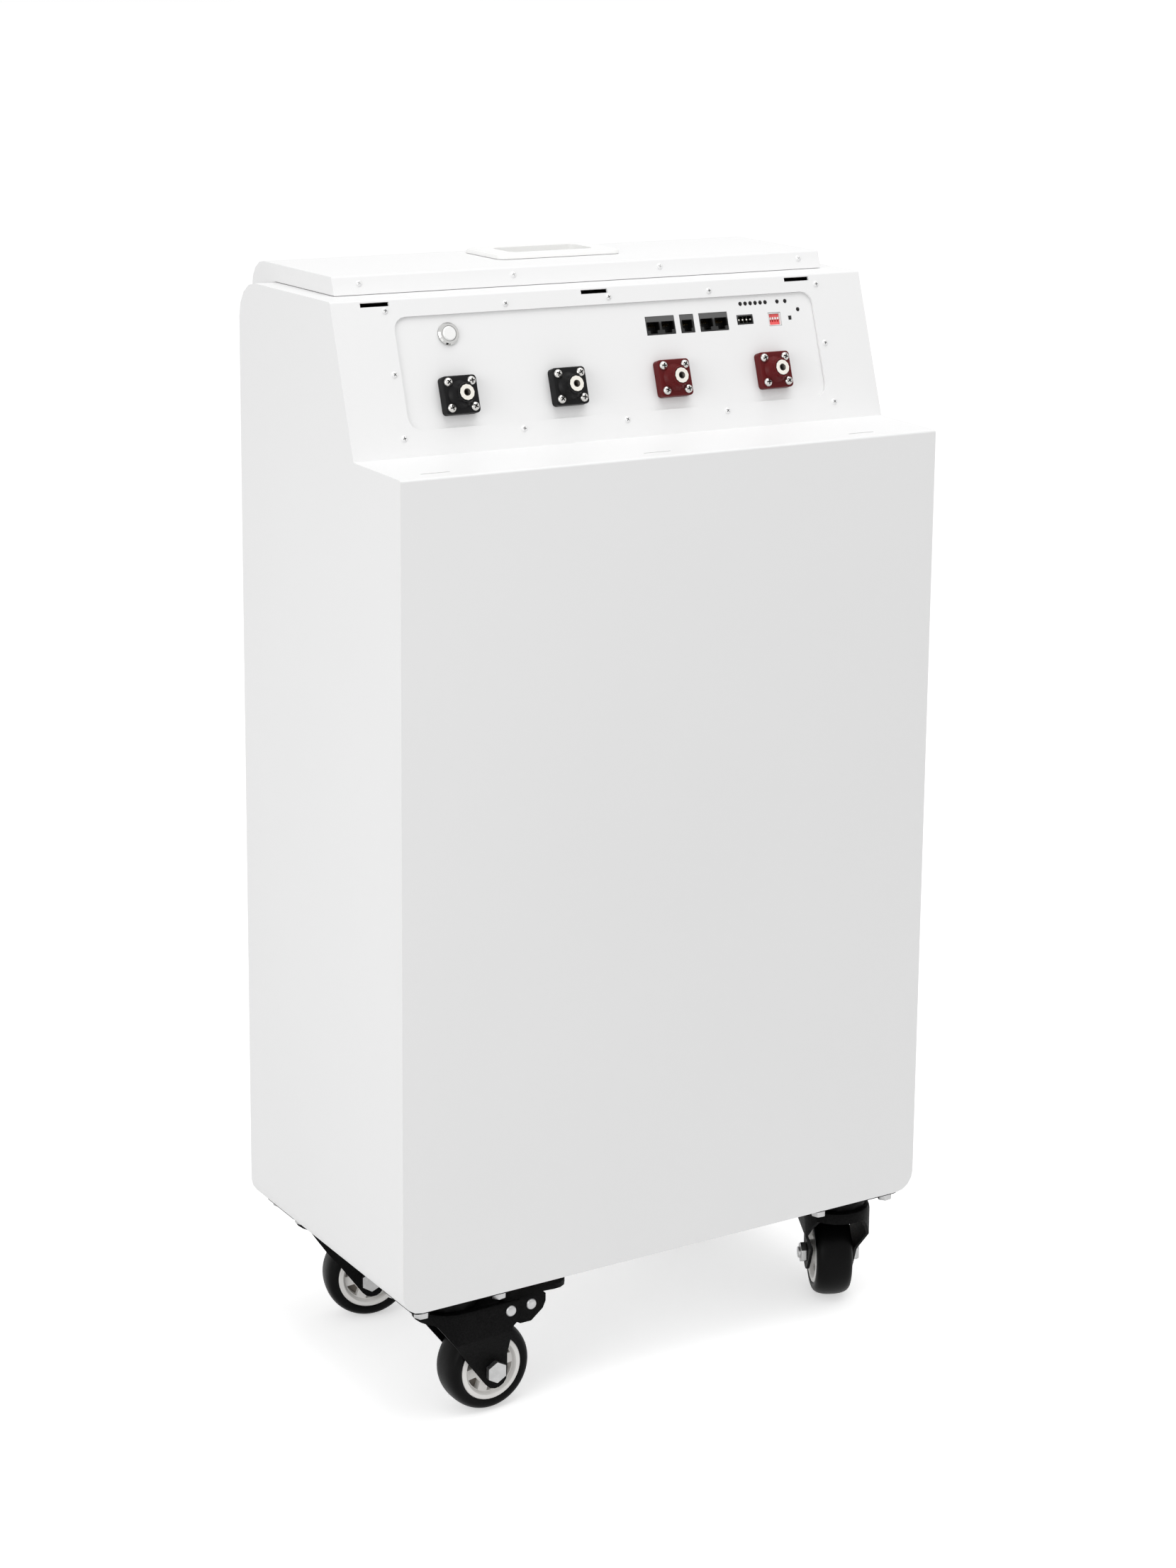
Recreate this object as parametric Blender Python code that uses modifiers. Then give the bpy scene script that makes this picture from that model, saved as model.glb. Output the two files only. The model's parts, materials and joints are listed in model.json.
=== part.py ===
"""Floor-standing lithium battery cabinet on four swivel casters.

Metres, +Z up. The front faces -Y. The origin lies on the floor, under the middle
of the cabinet and the cover that stands off its back.
"""

import math

import bmesh
import bpy
from mathutils import Matrix, Vector

# Cabinet sheet metal
CASE_WIDTH = 0.500
CASE_DEPTH = 0.280
CASE_HEIGHT = 0.7925
SHEET = 0.002
SHELF_DEPTH = 0.077
SHELF_RISE = 0.0015
SLOPE_RUN = 0.039
SLOPE_RISE = 0.119
REAR_BEND = 0.030
BOTTOM_BEND = 0.017
SEAT_GAP = 0.0003

# Service cover over the top and the back
COVER_RISE = 0.015
COVER_INSET = 0.0185
COVER_LEDGE = 0.029
COVER_FRONT_RUN = 0.0053
COVER_BEND = 0.022
COVER_BOTTOM_MARGIN = 0.030
COVER_FLANGE = 0.014

# Recessed carrying handle in the cover
HANDLE_LENGTH = 0.118
HANDLE_WIDTH = 0.064
HANDLE_RISE = 0.004
HANDLE_CHAMFER = 0.003
HANDLE_CORNER = 0.008
HANDLE_CENTRE_X = 0.004
HANDLE_SETBACK = 0.080
HANDLE_BORDER = 0.013
POCKET_MOUTH_LENGTH = 0.080
POCKET_MOUTH_WIDTH = 0.036
POCKET_CORNER = 0.007
POCKET_DEPTH = 0.020
POCKET_FLOOR = 0.0025

# Connector panel behind the sloped face; v runs up the slope from its lower edge
OPENING_WIDTH = 0.396
OPENING_LOW = 0.0205
OPENING_HIGH = 0.1105
OPENING_CORNER = 0.011
PANEL_OVERLAP = 0.0125
PANEL_THICKNESS = 0.0015
SLOT_LENGTH = 0.025
SLOT_HEIGHT = 0.0034
SLOT_PITCH = 0.1985
SLOT_SIDE_MARGIN = 0.038
SLOT_TOP_MARGIN = 0.0022
SLOT_CLEARANCE = 0.0006
SHELF_SLOT_HEIGHT = 0.0016
SHELF_SLOT_SETBACK = 0.016
FIT = 0.0003

# Power terminals; the first one's place is from the left edge of the opening
TERMINAL_MARGIN = 0.0470
TERMINAL_PITCH = 0.0993
TERMINAL_V = 0.0455
FLANGE_SIDE = 0.0305
FLANGE_THICKNESS = 0.0075
FLANGE_CORNER = 0.003
BOSS_BASE_RADIUS = 0.0100
BOSS_NECK_RADIUS = 0.0082
BOSS_TIP_RADIUS = 0.0077
BOSS_HEIGHT = 0.0095
SPIGOT_RADIUS = 0.0110
SPIGOT_DEPTH = 0.010
STUD_RADIUS = 0.0064
STUD_PROUD = 0.0004
STUD_HOLE_RADIUS = 0.0030
STUD_HOLE_DEPTH = 0.014
STUD_TAIL_RADIUS = 0.0050
STUD_TAIL_LENGTH = 0.012
BUSBAR_WIDTH = 0.024
BUSBAR_THICKNESS = 0.003
BUSBAR_OVERHANG = 0.013

# Power button, from the left edge of the opening
BUTTON_MARGIN = 0.0472
BUTTON_V = 0.0950
BUTTON_BEZEL_RADIUS = 0.0092
BUTTON_BEZEL_HEIGHT = 0.0024
BUTTON_BARREL_RADIUS = 0.0078
BUTTON_BARREL_LENGTH = 0.024
BUTTON_NUT_RADIUS = 0.0112
BUTTON_NUT_THICKNESS = 0.0035
BUTTON_CAP_RADIUS = 0.0060
BUTTON_CAP_PROUD = 0.0009
BUTTON_CAP_LENGTH = 0.006
BUTTON_BORE_SPARE = 0.003

# Communication board and what stands on it; margins are from the right edge of the opening
BOARD_SETBACK = 0.012
BOARD_THICKNESS = 0.0016
BOARD_MARGIN = 0.006
POST_RADIUS = 0.0025
JACK_V = 0.0903
JACK_PROUD = 0.0002
JACK_HEIGHT = 0.0150
RJ45_PITCH = 0.0140
RJ45_BODY_WIDTH = 0.0274
RJ45_MOUTH_WIDTH = 0.0120
RJ45_LEFT_MARGIN = 0.1523
RJ45_RIGHT_MARGIN = 0.1002
RJ11_BODY_WIDTH = 0.0130
RJ11_MOUTH_WIDTH = 0.0100
RJ11_MARGIN = 0.1263
JACK_MOUTH_HEIGHT = 0.0070
JACK_MOUTH_DEPTH = 0.0080
JACK_SILL = 0.0036
LATCH_WIDTH = 0.0070
LATCH_HEIGHT = 0.0027
HEADER_MARGIN = 0.0691
HEADER_WIDTH = 0.0154
HEADER_HEIGHT = 0.0076
HEADER_WALL = 0.0008
HEADER_DEPTH = 0.0080
HEADER_PROUD = 0.0004
PIN_COUNT = 4
PIN_PITCH = 0.00381
PIN_SIDE = 0.0010
PIN_LENGTH = 0.0065
DIP_MARGIN = 0.0393
DIP_V = 0.0890
DIP_WIDTH = 0.0106
DIP_HEIGHT = 0.0092
DIP_RECESS = 0.0020
DIP_WINDOW_SPARE = 0.0008
LEVER_COUNT = 4
LEVER_PITCH = 0.00254
LEVER_WIDTH = 0.0012
LEVER_HEIGHT = 0.0020
LEVER_TRAVEL = 0.0016
LEVER_RISE = 0.0010
LEVER_WELL = 0.0015
LEVER_SPARE = 0.0002
RESET_MARGIN = 0.0238
RESET_V = 0.0893
RESET_HOLE = 0.0036
RESET_RECESS = 0.0008
RESET_TRAVEL = 0.0004
TACT_SIDE = 0.0060
TACT_HEIGHT = 0.0043
LED_RADIUS = 0.0016
LED_V = 0.1037
LED_RECESS = 0.0003
LED_STRIP_WIDTH = 0.0046
LED_STRIP_HEIGHT = 0.0035
LED_ROW_MARGIN = 0.0715
LED_ROW_PITCH = 0.0050
LED_ROW_COUNT = 6
LED_PAIR_MARGIN = 0.0344
LED_PAIR_PITCH = 0.0080
LED_PAIR_COUNT = 2
LED_SINGLE_MARGIN = 0.0147
LED_SINGLE_V = 0.0960

# Cells and battery management inside the cabinet
CELL_LENGTH = 0.207
CELL_WIDTH = 0.174
CELL_THICKNESS = 0.072
CELL_SHEET = 0.0005
CELL_SHEET_RIM = 0.003
STACK_GAP = 0.006
CELL_SETBACK = 0.070
PLATE_THICKNESS = 0.008
MODULE_LENGTH = 0.300
MODULE_WIDTH = 0.150
MODULE_HEIGHT = 0.042
MODULE_HEADROOM = 0.027
MODULE_FIN_COUNT = 9
MODULE_FIN_DEPTH = 0.012

# Casters
CASTER_HEIGHT = 0.110
CASTER_SIDE_MARGIN = 0.057
CASTER_END_MARGIN = 0.033
CASTER_PLATE_LENGTH = 0.091
CASTER_PLATE_WIDTH = 0.060
CASTER_PLATE_CORNER = 0.006
CASTER_PLATE = 0.0025
RACE_RADIUS = 0.027
RACE_HEIGHT = 0.0085
KINGPIN_RADIUS = 0.005
KINGPIN_HEAD_RADIUS = 0.009
KINGPIN_HEAD = 0.003
TRAIL = 0.0325
WHEEL_RADIUS = 0.0375
TYRE_WIDTH = 0.032
TYRE_THICKNESS = 0.0102
TYRE_CROWN = 0.0012
TYRE_SHOULDER_RUN = 0.0095
TYRE_SHOULDER_DROP = 0.0065
HUB_RIM_WIDTH = 0.0314
HUB_RIM = 0.0040
HUB_WEB = 0.024
HUB_BOSS_RADIUS = 0.0105
HUB_SIDE_PLAY = 0.0006
POCKET_COUNT = 6
POCKET_SINK = 0.006
POCKET_EDGE = 0.0005
SPOKE_WIDTH = 0.0065
FORK_WALL = 0.0026
FORK_CROWN = 0.0030
FORK_HALF_INSIDE = 0.0180
FORK_DRUM_RADIUS = 0.0290
FORK_SKIRT = 0.010
FORK_NOSE = 0.0205
FORK_BEND = 0.004
FORK_SHOULDER_DROP = 0.026
FORK_WAIST_OVER_AXLE = 0.012
FORK_ARM_FRONT = 0.0127
FORK_ARM_REAR = 0.0118
FORK_EYE = 0.0105
FORK_HEEL = 0.006
AXLE_RADIUS = 0.005
AXLE_HEAD_ACROSS = 0.016
AXLE_HEAD = 0.005
AXLE_TIP = 0.002
RUN_CLEARANCE = 0.0003

# Foot brake on the front casters
PIVOT_BEHIND_AXLE = 0.0105
PIVOT_BELOW_CROWN = 0.0085
PIVOT_RADIUS = 0.003
PIVOT_EYE = 0.0085
RIVET_HEAD_RADIUS = 0.0046
RIVET_HEAD = 0.0018
PEDAL_WALL = 0.0024
PEDAL_CHEEK = 0.034
CHEEK_BELOW_PIVOT = 0.0145
PEDAL_TONGUE = 0.0645
PEDAL_TONGUE_WIDTH = 0.034
PEDAL_TIP_RISE = 0.001
PEDAL_LIP = 0.0055
PEDAL_SHEET = 0.0026
PEDAL_TOP_DROP = 0.0020
PEDAL_STUD_BEHIND = 0.0205
SHOE_BELOW_PIVOT = 0.0175
SHOE_BEHIND_PIVOT = 0.0105
SHOE_LENGTH = 0.010
SHOE_WIDTH = 0.028

# Where each caster trails at rest, in degrees from +X
FRONT_LEFT_TRAIL = 0.0
FRONT_RIGHT_TRAIL = 64.5
REAR_LEFT_TRAIL = -15.5
REAR_RIGHT_TRAIL = 165.0

# Facet counts
ROUND_STEPS = 24
SMALL_STEPS = 12
TINY_STEPS = 8
HOUSING_STEPS = 16
WHEEL_STEPS = 18
BEND_STEPS = 4
CORNER_STEPS = 3
SHOULDER_STEPS = 2
RIVET_STEPS = 8
NOSE_STEPS = 6

# Places that follow from the sizes above
CASE_FRONT = -(CASE_DEPTH + COVER_RISE) / 2
CASE_BACK = CASE_FRONT + CASE_DEPTH
CASE_BOTTOM = CASTER_HEIGHT
DECK_Z = CASE_BOTTOM + CASE_HEIGHT
SLOPE_FOOT_Y = CASE_FRONT + SHELF_DEPTH
SLOPE_FOOT_Z = DECK_Z - SLOPE_RISE
SLOPE_TOP_Y = SLOPE_FOOT_Y + SLOPE_RUN
SHELF_Z = SLOPE_FOOT_Z - SHELF_RISE
SLOPE_LENGTH = math.hypot(SLOPE_RUN, SLOPE_RISE)
SLOPE_TILT = math.atan2(SLOPE_RISE, SLOPE_RUN)
SLOT_LOW = SLOPE_LENGTH - SLOT_TOP_MARGIN - SLOT_HEIGHT
COVER_FRONT = SLOPE_TOP_Y + COVER_LEDGE
COVER_TOP = DECK_Z + COVER_RISE
COVER_BACK = CASE_BACK + COVER_RISE
COVER_HALF = CASE_WIDTH / 2 - COVER_INSET
PANEL_FACE = -SHEET - SEAT_GAP
PANEL_REAR = PANEL_FACE - PANEL_THICKNESS
BOARD_FACE = PANEL_REAR - BOARD_SETBACK
PART_FOOT = BOARD_FACE + SEAT_GAP
FLANGE_FOOT = PANEL_FACE + SEAT_GAP
FLANGE_FACE = FLANGE_FOOT + FLANGE_THICKNESS
SPIGOT_END = FLANGE_FOOT - SPIGOT_DEPTH
OPENING_RIGHT = OPENING_WIDTH / 2
OPENING_LEFT = -OPENING_RIGHT
TERMINAL_FIRST_X = OPENING_LEFT + TERMINAL_MARGIN
BUTTON_X = OPENING_LEFT + BUTTON_MARGIN
RJ45_LEFT_X = OPENING_RIGHT - RJ45_LEFT_MARGIN
RJ45_RIGHT_X = OPENING_RIGHT - RJ45_RIGHT_MARGIN
RJ11_X = OPENING_RIGHT - RJ11_MARGIN
HEADER_X = OPENING_RIGHT - HEADER_MARGIN
DIP_X = OPENING_RIGHT - DIP_MARGIN
RESET_X = OPENING_RIGHT - RESET_MARGIN
LED_ROW_FIRST_X = OPENING_RIGHT - LED_ROW_MARGIN
LED_PAIR_FIRST_X = OPENING_RIGHT - LED_PAIR_MARGIN
LED_SINGLE_X = OPENING_RIGHT - LED_SINGLE_MARGIN
CELL_PITCH = CELL_THICKNESS + CELL_SHEET
CELL_ROOM = SHELF_Z - CASE_BOTTOM - SHEET - 2 * PLATE_THICKNESS - MODULE_HEIGHT - MODULE_HEADROOM
CELLS_PER_STACK = int(CELL_ROOM / CELL_PITCH)
FORK_TOP = CASTER_HEIGHT - CASTER_PLATE - RACE_HEIGHT - SEAT_GAP
FORK_UNDER = FORK_TOP - FORK_CROWN
FORK_HALF = FORK_HALF_INSIDE + FORK_WALL
FORK_SHOULDER_Z = FORK_TOP - FORK_SHOULDER_DROP
FORK_WAIST_Z = WHEEL_RADIUS + FORK_WAIST_OVER_AXLE
AXLE_X = TRAIL
PIVOT_X = AXLE_X + PIVOT_BEHIND_AXLE
PIVOT_Z = FORK_TOP - PIVOT_BELOW_CROWN

YZ_PROFILE = Matrix(((0, 0, 1, 0), (1, 0, 0, 0), (0, 1, 0, 0), (0, 0, 0, 1)))
XZ_PROFILE = Matrix(((1, 0, 0, 0), (0, 0, -1, 0), (0, 1, 0, 0), (0, 0, 0, 1)))
ALONG_Y = Matrix.Rotation(math.radians(90), 4, "X")

WHITE_PAINT = ("white_powder_coat", (0.86, 0.86, 0.86), 0.45, 0.0)
WHITE_PLASTIC = ("white_plastic", (0.85, 0.85, 0.85), 0.4, 0.0)
BLACK_RESIN = ("black_resin", (0.035, 0.035, 0.037), 0.45, 0.0)
RED_RESIN = ("red_resin", (0.22, 0.025, 0.03), 0.4, 0.0)
NICKEL = ("nickel_plate", (0.75, 0.74, 0.71), 0.25, 1.0)
COPPER = ("tinned_copper", (0.72, 0.45, 0.33), 0.35, 1.0)
PORT_PLASTIC = ("port_plastic", (0.02, 0.02, 0.02), 0.35, 0.0)
DIP_RED = ("dip_red", (0.72, 0.06, 0.05), 0.4, 0.0)
LENS = ("dark_lens", (0.03, 0.03, 0.03), 0.15, 0.0)
CIRCUIT_BOARD = ("circuit_board", (0.02, 0.16, 0.07), 0.5, 0.0)
CELL_WRAP = ("cell_wrap", (0.05, 0.16, 0.42), 0.4, 0.0)
ALUMINIUM = ("aluminium", (0.6, 0.6, 0.61), 0.4, 1.0)
BLACK_STEEL = ("black_painted_steel", (0.02, 0.02, 0.021), 0.45, 0.0)
ZINC = ("zinc_plate", (0.7, 0.71, 0.72), 0.3, 1.0)
HUB_PLASTIC = ("hub_plastic", (0.68, 0.66, 0.63), 0.4, 0.0)
TYRE_RUBBER = ("tyre_rubber", (0.02, 0.02, 0.02), 0.5, 0.0)


def clear_scene():
    for obj in list(bpy.data.objects):
        bpy.data.objects.remove(obj, do_unlink=True)


def new_collection(name, hidden):
    collection = bpy.data.collections.new(name)
    bpy.context.scene.collection.children.link(collection)
    collection.hide_render = hidden
    return collection


def material(finish):
    name, colour, roughness, metallic = finish
    found = bpy.data.materials.get(name)
    if found:
        return found
    made = bpy.data.materials.new(name)
    made.use_nodes = True
    shader = made.node_tree.nodes["Principled BSDF"]
    shader.inputs["Base Color"].default_value = (*colour, 1.0)
    shader.inputs["Roughness"].default_value = roughness
    shader.inputs["Metallic"].default_value = metallic
    made.diffuse_color = (*colour, 1.0)
    return made


def fillet(corners, steps=BEND_STEPS):
    """The outline through (x, y, radius) corners, with each corner rounded by its radius."""
    outline = []
    count = len(corners)
    for index, (x, y, radius) in enumerate(corners):
        here = Vector((x, y))
        before = (Vector(corners[index - 1][:2]) - here).normalized()
        after = (Vector(corners[(index + 1) % count][:2]) - here).normalized()
        if radius <= 0.0:
            outline.append(here)
            continue
        half = before.angle(after) / 2
        centre = here + (before + after).normalized() * (radius / math.sin(half))
        start = here + before * (radius / math.tan(half)) - centre
        end = here + after * (radius / math.tan(half)) - centre
        turn = math.atan2(start.cross(end), start.dot(end))
        for step in range(steps + 1):
            spin = Matrix.Rotation(turn * step / steps, 2)
            outline.append(centre + spin @ start)
    return outline


def inset(corners, distance):
    """The corners of an anticlockwise outline moved inwards, with the bends kept concentric."""
    moved = []
    count = len(corners)
    for index, (x, y, radius) in enumerate(corners):
        here = Vector((x, y))
        along_in = (here - Vector(corners[index - 1][:2])).normalized()
        along_out = (Vector(corners[(index + 1) % count][:2]) - here).normalized()
        normal_in = Vector((-along_in.y, along_in.x))
        normal_out = Vector((-along_out.y, along_out.x))
        mitre = (normal_in + normal_out) / (1 + normal_in.dot(normal_out))
        place = here + mitre * distance
        moved.append((place.x, place.y, max(radius - distance, 0.0)))
    return moved


def rectangle(width, height, corner, centre=(0.0, 0.0)):
    x, y = centre
    half_width = width / 2
    half_height = height / 2
    return [
        (x - half_width, y - half_height, corner),
        (x + half_width, y - half_height, corner),
        (x + half_width, y + half_height, corner),
        (x - half_width, y + half_height, corner),
    ]


def graph():
    bpy.context.view_layer.update()
    return bpy.context.evaluated_depsgraph_get()


def tidy(mesh, flat=0.0005):
    """Welds a mesh, merges its flat faces and turns every face out."""
    work = bmesh.new()
    work.from_mesh(mesh)
    bmesh.ops.remove_doubles(work, verts=work.verts, dist=1e-6)
    bmesh.ops.dissolve_limit(work, angle_limit=flat, verts=work.verts, edges=work.edges)
    bmesh.ops.recalc_face_normals(work, faces=work.faces)
    if work.calc_volume(signed=True) < 0:
        bmesh.ops.reverse_faces(work, faces=work.faces)
    work.to_mesh(mesh)
    work.free()
    return mesh


def helper(name, mesh, place=None, parent=None):
    """A cutter or a joined shape: it shapes a part and isn't rendered."""
    obj = bpy.data.objects.new(name, mesh)
    CUTTERS.objects.link(obj)
    obj.hide_render = True
    obj.display_type = "WIRE"
    obj.matrix_basis = place or Matrix()
    obj.parent = parent
    return obj


def prism(outline, low, high, place=None):
    """A flat outline made solid between two heights, as a mesh."""
    curve = bpy.data.curves.new("outline", "CURVE")
    curve.dimensions = "2D"
    curve.fill_mode = "BOTH"
    curve.extrude = (high - low) / 2
    spline = curve.splines.new("POLY")
    spline.points.add(len(outline) - 1)
    for point, (x, y) in zip(spline.points, outline):
        point.co = (x, y, 0.0, 1.0)
    spline.use_cyclic_u = True
    holder = bpy.data.objects.new("outline", curve)
    PARTS.objects.link(holder)
    mesh = bpy.data.meshes.new_from_object(holder.evaluated_get(graph()))
    bpy.data.objects.remove(holder)
    mesh.transform((place or Matrix()) @ Matrix.Translation((0, 0, (low + high) / 2)))
    return tidy(mesh)


def block(low, high, place=None):
    work = bmesh.new()
    size = Vector(high) - Vector(low)
    middle = (Vector(high) + Vector(low)) / 2
    shape = Matrix.Translation(middle) @ Matrix.Diagonal((*size, 1.0))
    bmesh.ops.create_cube(work, size=1.0, matrix=(place or Matrix()) @ shape)
    mesh = bpy.data.meshes.new("block")
    work.to_mesh(mesh)
    work.free()
    return mesh


def rod(radius, low, high, place=None, steps=SMALL_STEPS):
    """A round or, with few steps, a many-sided bar between two heights."""
    work = bmesh.new()
    middle = Matrix.Translation((0, 0, (low + high) / 2))
    bmesh.ops.create_cone(
        work,
        cap_ends=True,
        segments=steps,
        radius1=radius,
        radius2=radius,
        depth=high - low,
        matrix=(place or Matrix()) @ middle,
    )
    mesh = bpy.data.meshes.new("rod")
    work.to_mesh(mesh)
    work.free()
    return mesh


def turned(profile, closed, place=None, steps=ROUND_STEPS):
    """A profile of (radius, height) points turned round Z, as a mesh."""
    wire = bpy.data.meshes.new("profile")
    points = [(radius, 0.0, height) for radius, height in profile]
    edges = [(i, i + 1) for i in range(len(points) - 1)]
    if closed:
        edges.append((len(points) - 1, 0))
    wire.from_pydata(points, edges, [])
    holder = bpy.data.objects.new("profile", wire)
    PARTS.objects.link(holder)
    screw = holder.modifiers.new("turn", "SCREW")
    screw.steps = steps
    screw.render_steps = steps
    screw.use_merge_vertices = True
    screw.merge_threshold = 1e-5
    mesh = bpy.data.meshes.new_from_object(holder.evaluated_get(graph()))
    bpy.data.objects.remove(holder)
    mesh.transform(place or Matrix())
    return tidy(mesh, flat=1e-5)


def bevel_edges(mesh, wanted, width, steps):
    """Rounds the edges for which wanted(start, end) is true, leaving the seams of flat faces."""
    work = bmesh.new()
    work.from_mesh(mesh)
    creases = [e for e in work.edges if e.calc_face_angle() > math.radians(1)]
    edges = [e for e in creases if wanted(e.verts[0].co, e.verts[1].co)]
    bmesh.ops.bevel(
        work,
        geom=edges,
        offset=width,
        offset_type="OFFSET",
        segments=steps,
        profile=0.5,
        affect="EDGES",
    )
    work.to_mesh(mesh)
    work.free()
    return mesh


def combine(obj, mesh, operation, parent=None):
    tool = helper(f"{obj.name}_{operation.lower()}", mesh, parent=parent)
    boolean = obj.modifiers.new(operation.lower(), "BOOLEAN")
    boolean.operation = operation
    boolean.solver = "EXACT"
    boolean.object = tool


def cut(obj, *meshes):
    for mesh in meshes:
        combine(obj, mesh, "DIFFERENCE", obj.parent)


def join(obj, *meshes):
    for mesh in meshes:
        combine(obj, mesh, "UNION", obj.parent)


def add_part(name, mesh, finish, parent=None, location=(0.0, 0.0, 0.0)):
    obj = bpy.data.objects.new(name, mesh)
    PARTS.objects.link(obj)
    obj.parent = parent
    obj.location = location
    mesh.materials.clear()
    mesh.materials.append(material(finish))
    return obj


def baked(obj):
    """The finished mesh of a piece that is used several times; the piece itself is removed."""
    mesh = bpy.data.meshes.new_from_object(obj.evaluated_get(graph()))
    tools = [modifier.object for modifier in obj.modifiers if modifier.type == "BOOLEAN"]
    for extra in [obj, *tools]:
        bpy.data.objects.remove(extra)
    return tidy(mesh, flat=1e-5)


def draft(mesh):
    """A piece in the making, at the origin."""
    return add_part("draft", mesh, BLACK_STEEL)


def smooth(obj, angle=35):
    obj.data.shade_smooth()
    obj.data.set_sharp_from_angle(angle=math.radians(angle))


def empty(name, location, rotation=(0.0, 0.0, 0.0), parent=None):
    obj = bpy.data.objects.new(name, None)
    PARTS.objects.link(obj)
    obj.location = location
    obj.rotation_euler = rotation
    obj.parent = parent
    return obj


def case_corners():
    """The cabinet's side view as (y, z, bend radius), anticlockwise seen from +X."""
    return [
        (CASE_FRONT, CASE_BOTTOM, 0.0),
        (CASE_BACK, CASE_BOTTOM, 0.0),
        (CASE_BACK, DECK_Z, REAR_BEND),
        (SLOPE_TOP_Y, DECK_Z, SHEET),
        (SLOPE_FOOT_Y, SLOPE_FOOT_Z, 0.0),
        (CASE_FRONT, SHELF_Z, SHEET),
    ]


def case_block(distance):
    """The cabinet's outer form moved inwards by a distance, as a solid."""
    half = CASE_WIDTH / 2 - distance
    outline = fillet(inset(case_corners(), distance))
    mesh = prism(outline, -half, half, YZ_PROFILE)
    floor = CASE_BOTTOM + distance

    def lower_side(start, end):
        on_floor = max(abs(start.z - floor), abs(end.z - floor)) < 1e-5
        return on_floor and abs(start.x - end.x) < 1e-5

    return bevel_edges(mesh, lower_side, BOTTOM_BEND - distance, BEND_STEPS)


def slot_centres():
    first = SLOT_SIDE_MARGIN - CASE_WIDTH / 2
    return [first + SLOT_PITCH * index for index in range(3)]


def make_case(panel):
    case = add_part("case_shell", case_block(0.0), WHITE_PAINT)
    hatch_half = COVER_HALF - COVER_FLANGE
    hatch_front = COVER_FRONT + COVER_FRONT_RUN + COVER_FLANGE
    hatch_foot = CASE_BOTTOM + COVER_BOTTOM_MARGIN + COVER_FLANGE
    hatch = block((-hatch_half, hatch_front, hatch_foot), (hatch_half, CASE_BACK + SHEET, DECK_Z + SHEET))
    cut(case, case_block(SHEET), hatch)
    middle = (OPENING_LOW + OPENING_HIGH) / 2
    opening = rectangle(OPENING_WIDTH, OPENING_HIGH - OPENING_LOW, OPENING_CORNER, (0.0, middle))
    cutters = [prism(fillet(opening), -3 * SHEET, SHEET)]
    for x in slot_centres():
        low = (x - SLOT_LENGTH / 2, SLOT_LOW, -3 * SHEET)
        cutters.append(block(low, (x + SLOT_LENGTH / 2, SLOT_LOW + SLOT_HEIGHT, SHEET)))
    for mesh in cutters:
        combine(case, mesh, "DIFFERENCE", panel)
    middle_y = CASE_FRONT + SHELF_SLOT_SETBACK
    for x in slot_centres():
        low = (x - SLOT_LENGTH / 2, middle_y - SHELF_SLOT_HEIGHT / 2, SHELF_Z - 2 * SHEET)
        high = (x + SLOT_LENGTH / 2, middle_y + SHELF_SLOT_HEIGHT / 2, SLOPE_FOOT_Z + SHEET)
        cut(case, block(low, high))
    return case


def cover_corners():
    """The cover's side view as (y, z, radius): over the deck, round the back and down."""
    low = CASE_BOTTOM + COVER_BOTTOM_MARGIN
    back = CASE_BACK + SEAT_GAP
    deck = DECK_Z + SEAT_GAP
    return [
        (COVER_FRONT, deck, 0.0),
        (back, deck, REAR_BEND + SEAT_GAP),
        (back, low, 0.0),
        (COVER_BACK, low, 0.0),
        (COVER_BACK, COVER_TOP, COVER_BEND),
        (COVER_FRONT + COVER_FRONT_RUN, COVER_TOP, SHEET),
    ]


def cover_hollow():
    """The space under the cover, open towards the cabinet."""
    low = CASE_BOTTOM + COVER_BOTTOM_MARGIN + SHEET
    deck = DECK_Z - REAR_BEND
    back = CASE_BACK - REAR_BEND
    lean = COVER_FRONT_RUN / COVER_RISE
    slant = SHEET * math.hypot(1.0, lean)
    return [
        (COVER_FRONT - lean * REAR_BEND + slant, deck, 0.0),
        (back, deck, 0.0),
        (back, low, 0.0),
        (COVER_BACK - SHEET, low, 0.0),
        (COVER_BACK - SHEET, COVER_TOP - SHEET, COVER_BEND - SHEET),
        (COVER_FRONT + COVER_FRONT_RUN + slant - lean * SHEET, COVER_TOP - SHEET, 0.0),
    ]


def handle_centre():
    middle_y = SLOPE_TOP_Y + HANDLE_SETBACK + HANDLE_WIDTH / 2
    return Vector((HANDLE_CENTRE_X, middle_y, COVER_TOP + SEAT_GAP))


def make_cover():
    mesh = prism(fillet(cover_corners()), -COVER_HALF, COVER_HALF, YZ_PROFILE)
    cover = add_part("service_cover", mesh, WHITE_PAINT)
    inside = COVER_HALF - SHEET
    cut(cover, prism(fillet(cover_hollow()), -inside, inside, YZ_PROFILE))
    middle = handle_centre()
    hole = rectangle(
        HANDLE_LENGTH - 2 * HANDLE_BORDER + 2 * FIT,
        HANDLE_WIDTH - HANDLE_BORDER + 2 * FIT,
        HANDLE_CORNER,
        middle.xy,
    )
    cut(cover, prism(fillet(hole), COVER_TOP - 2 * SHEET, COVER_TOP + SHEET))


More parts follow.
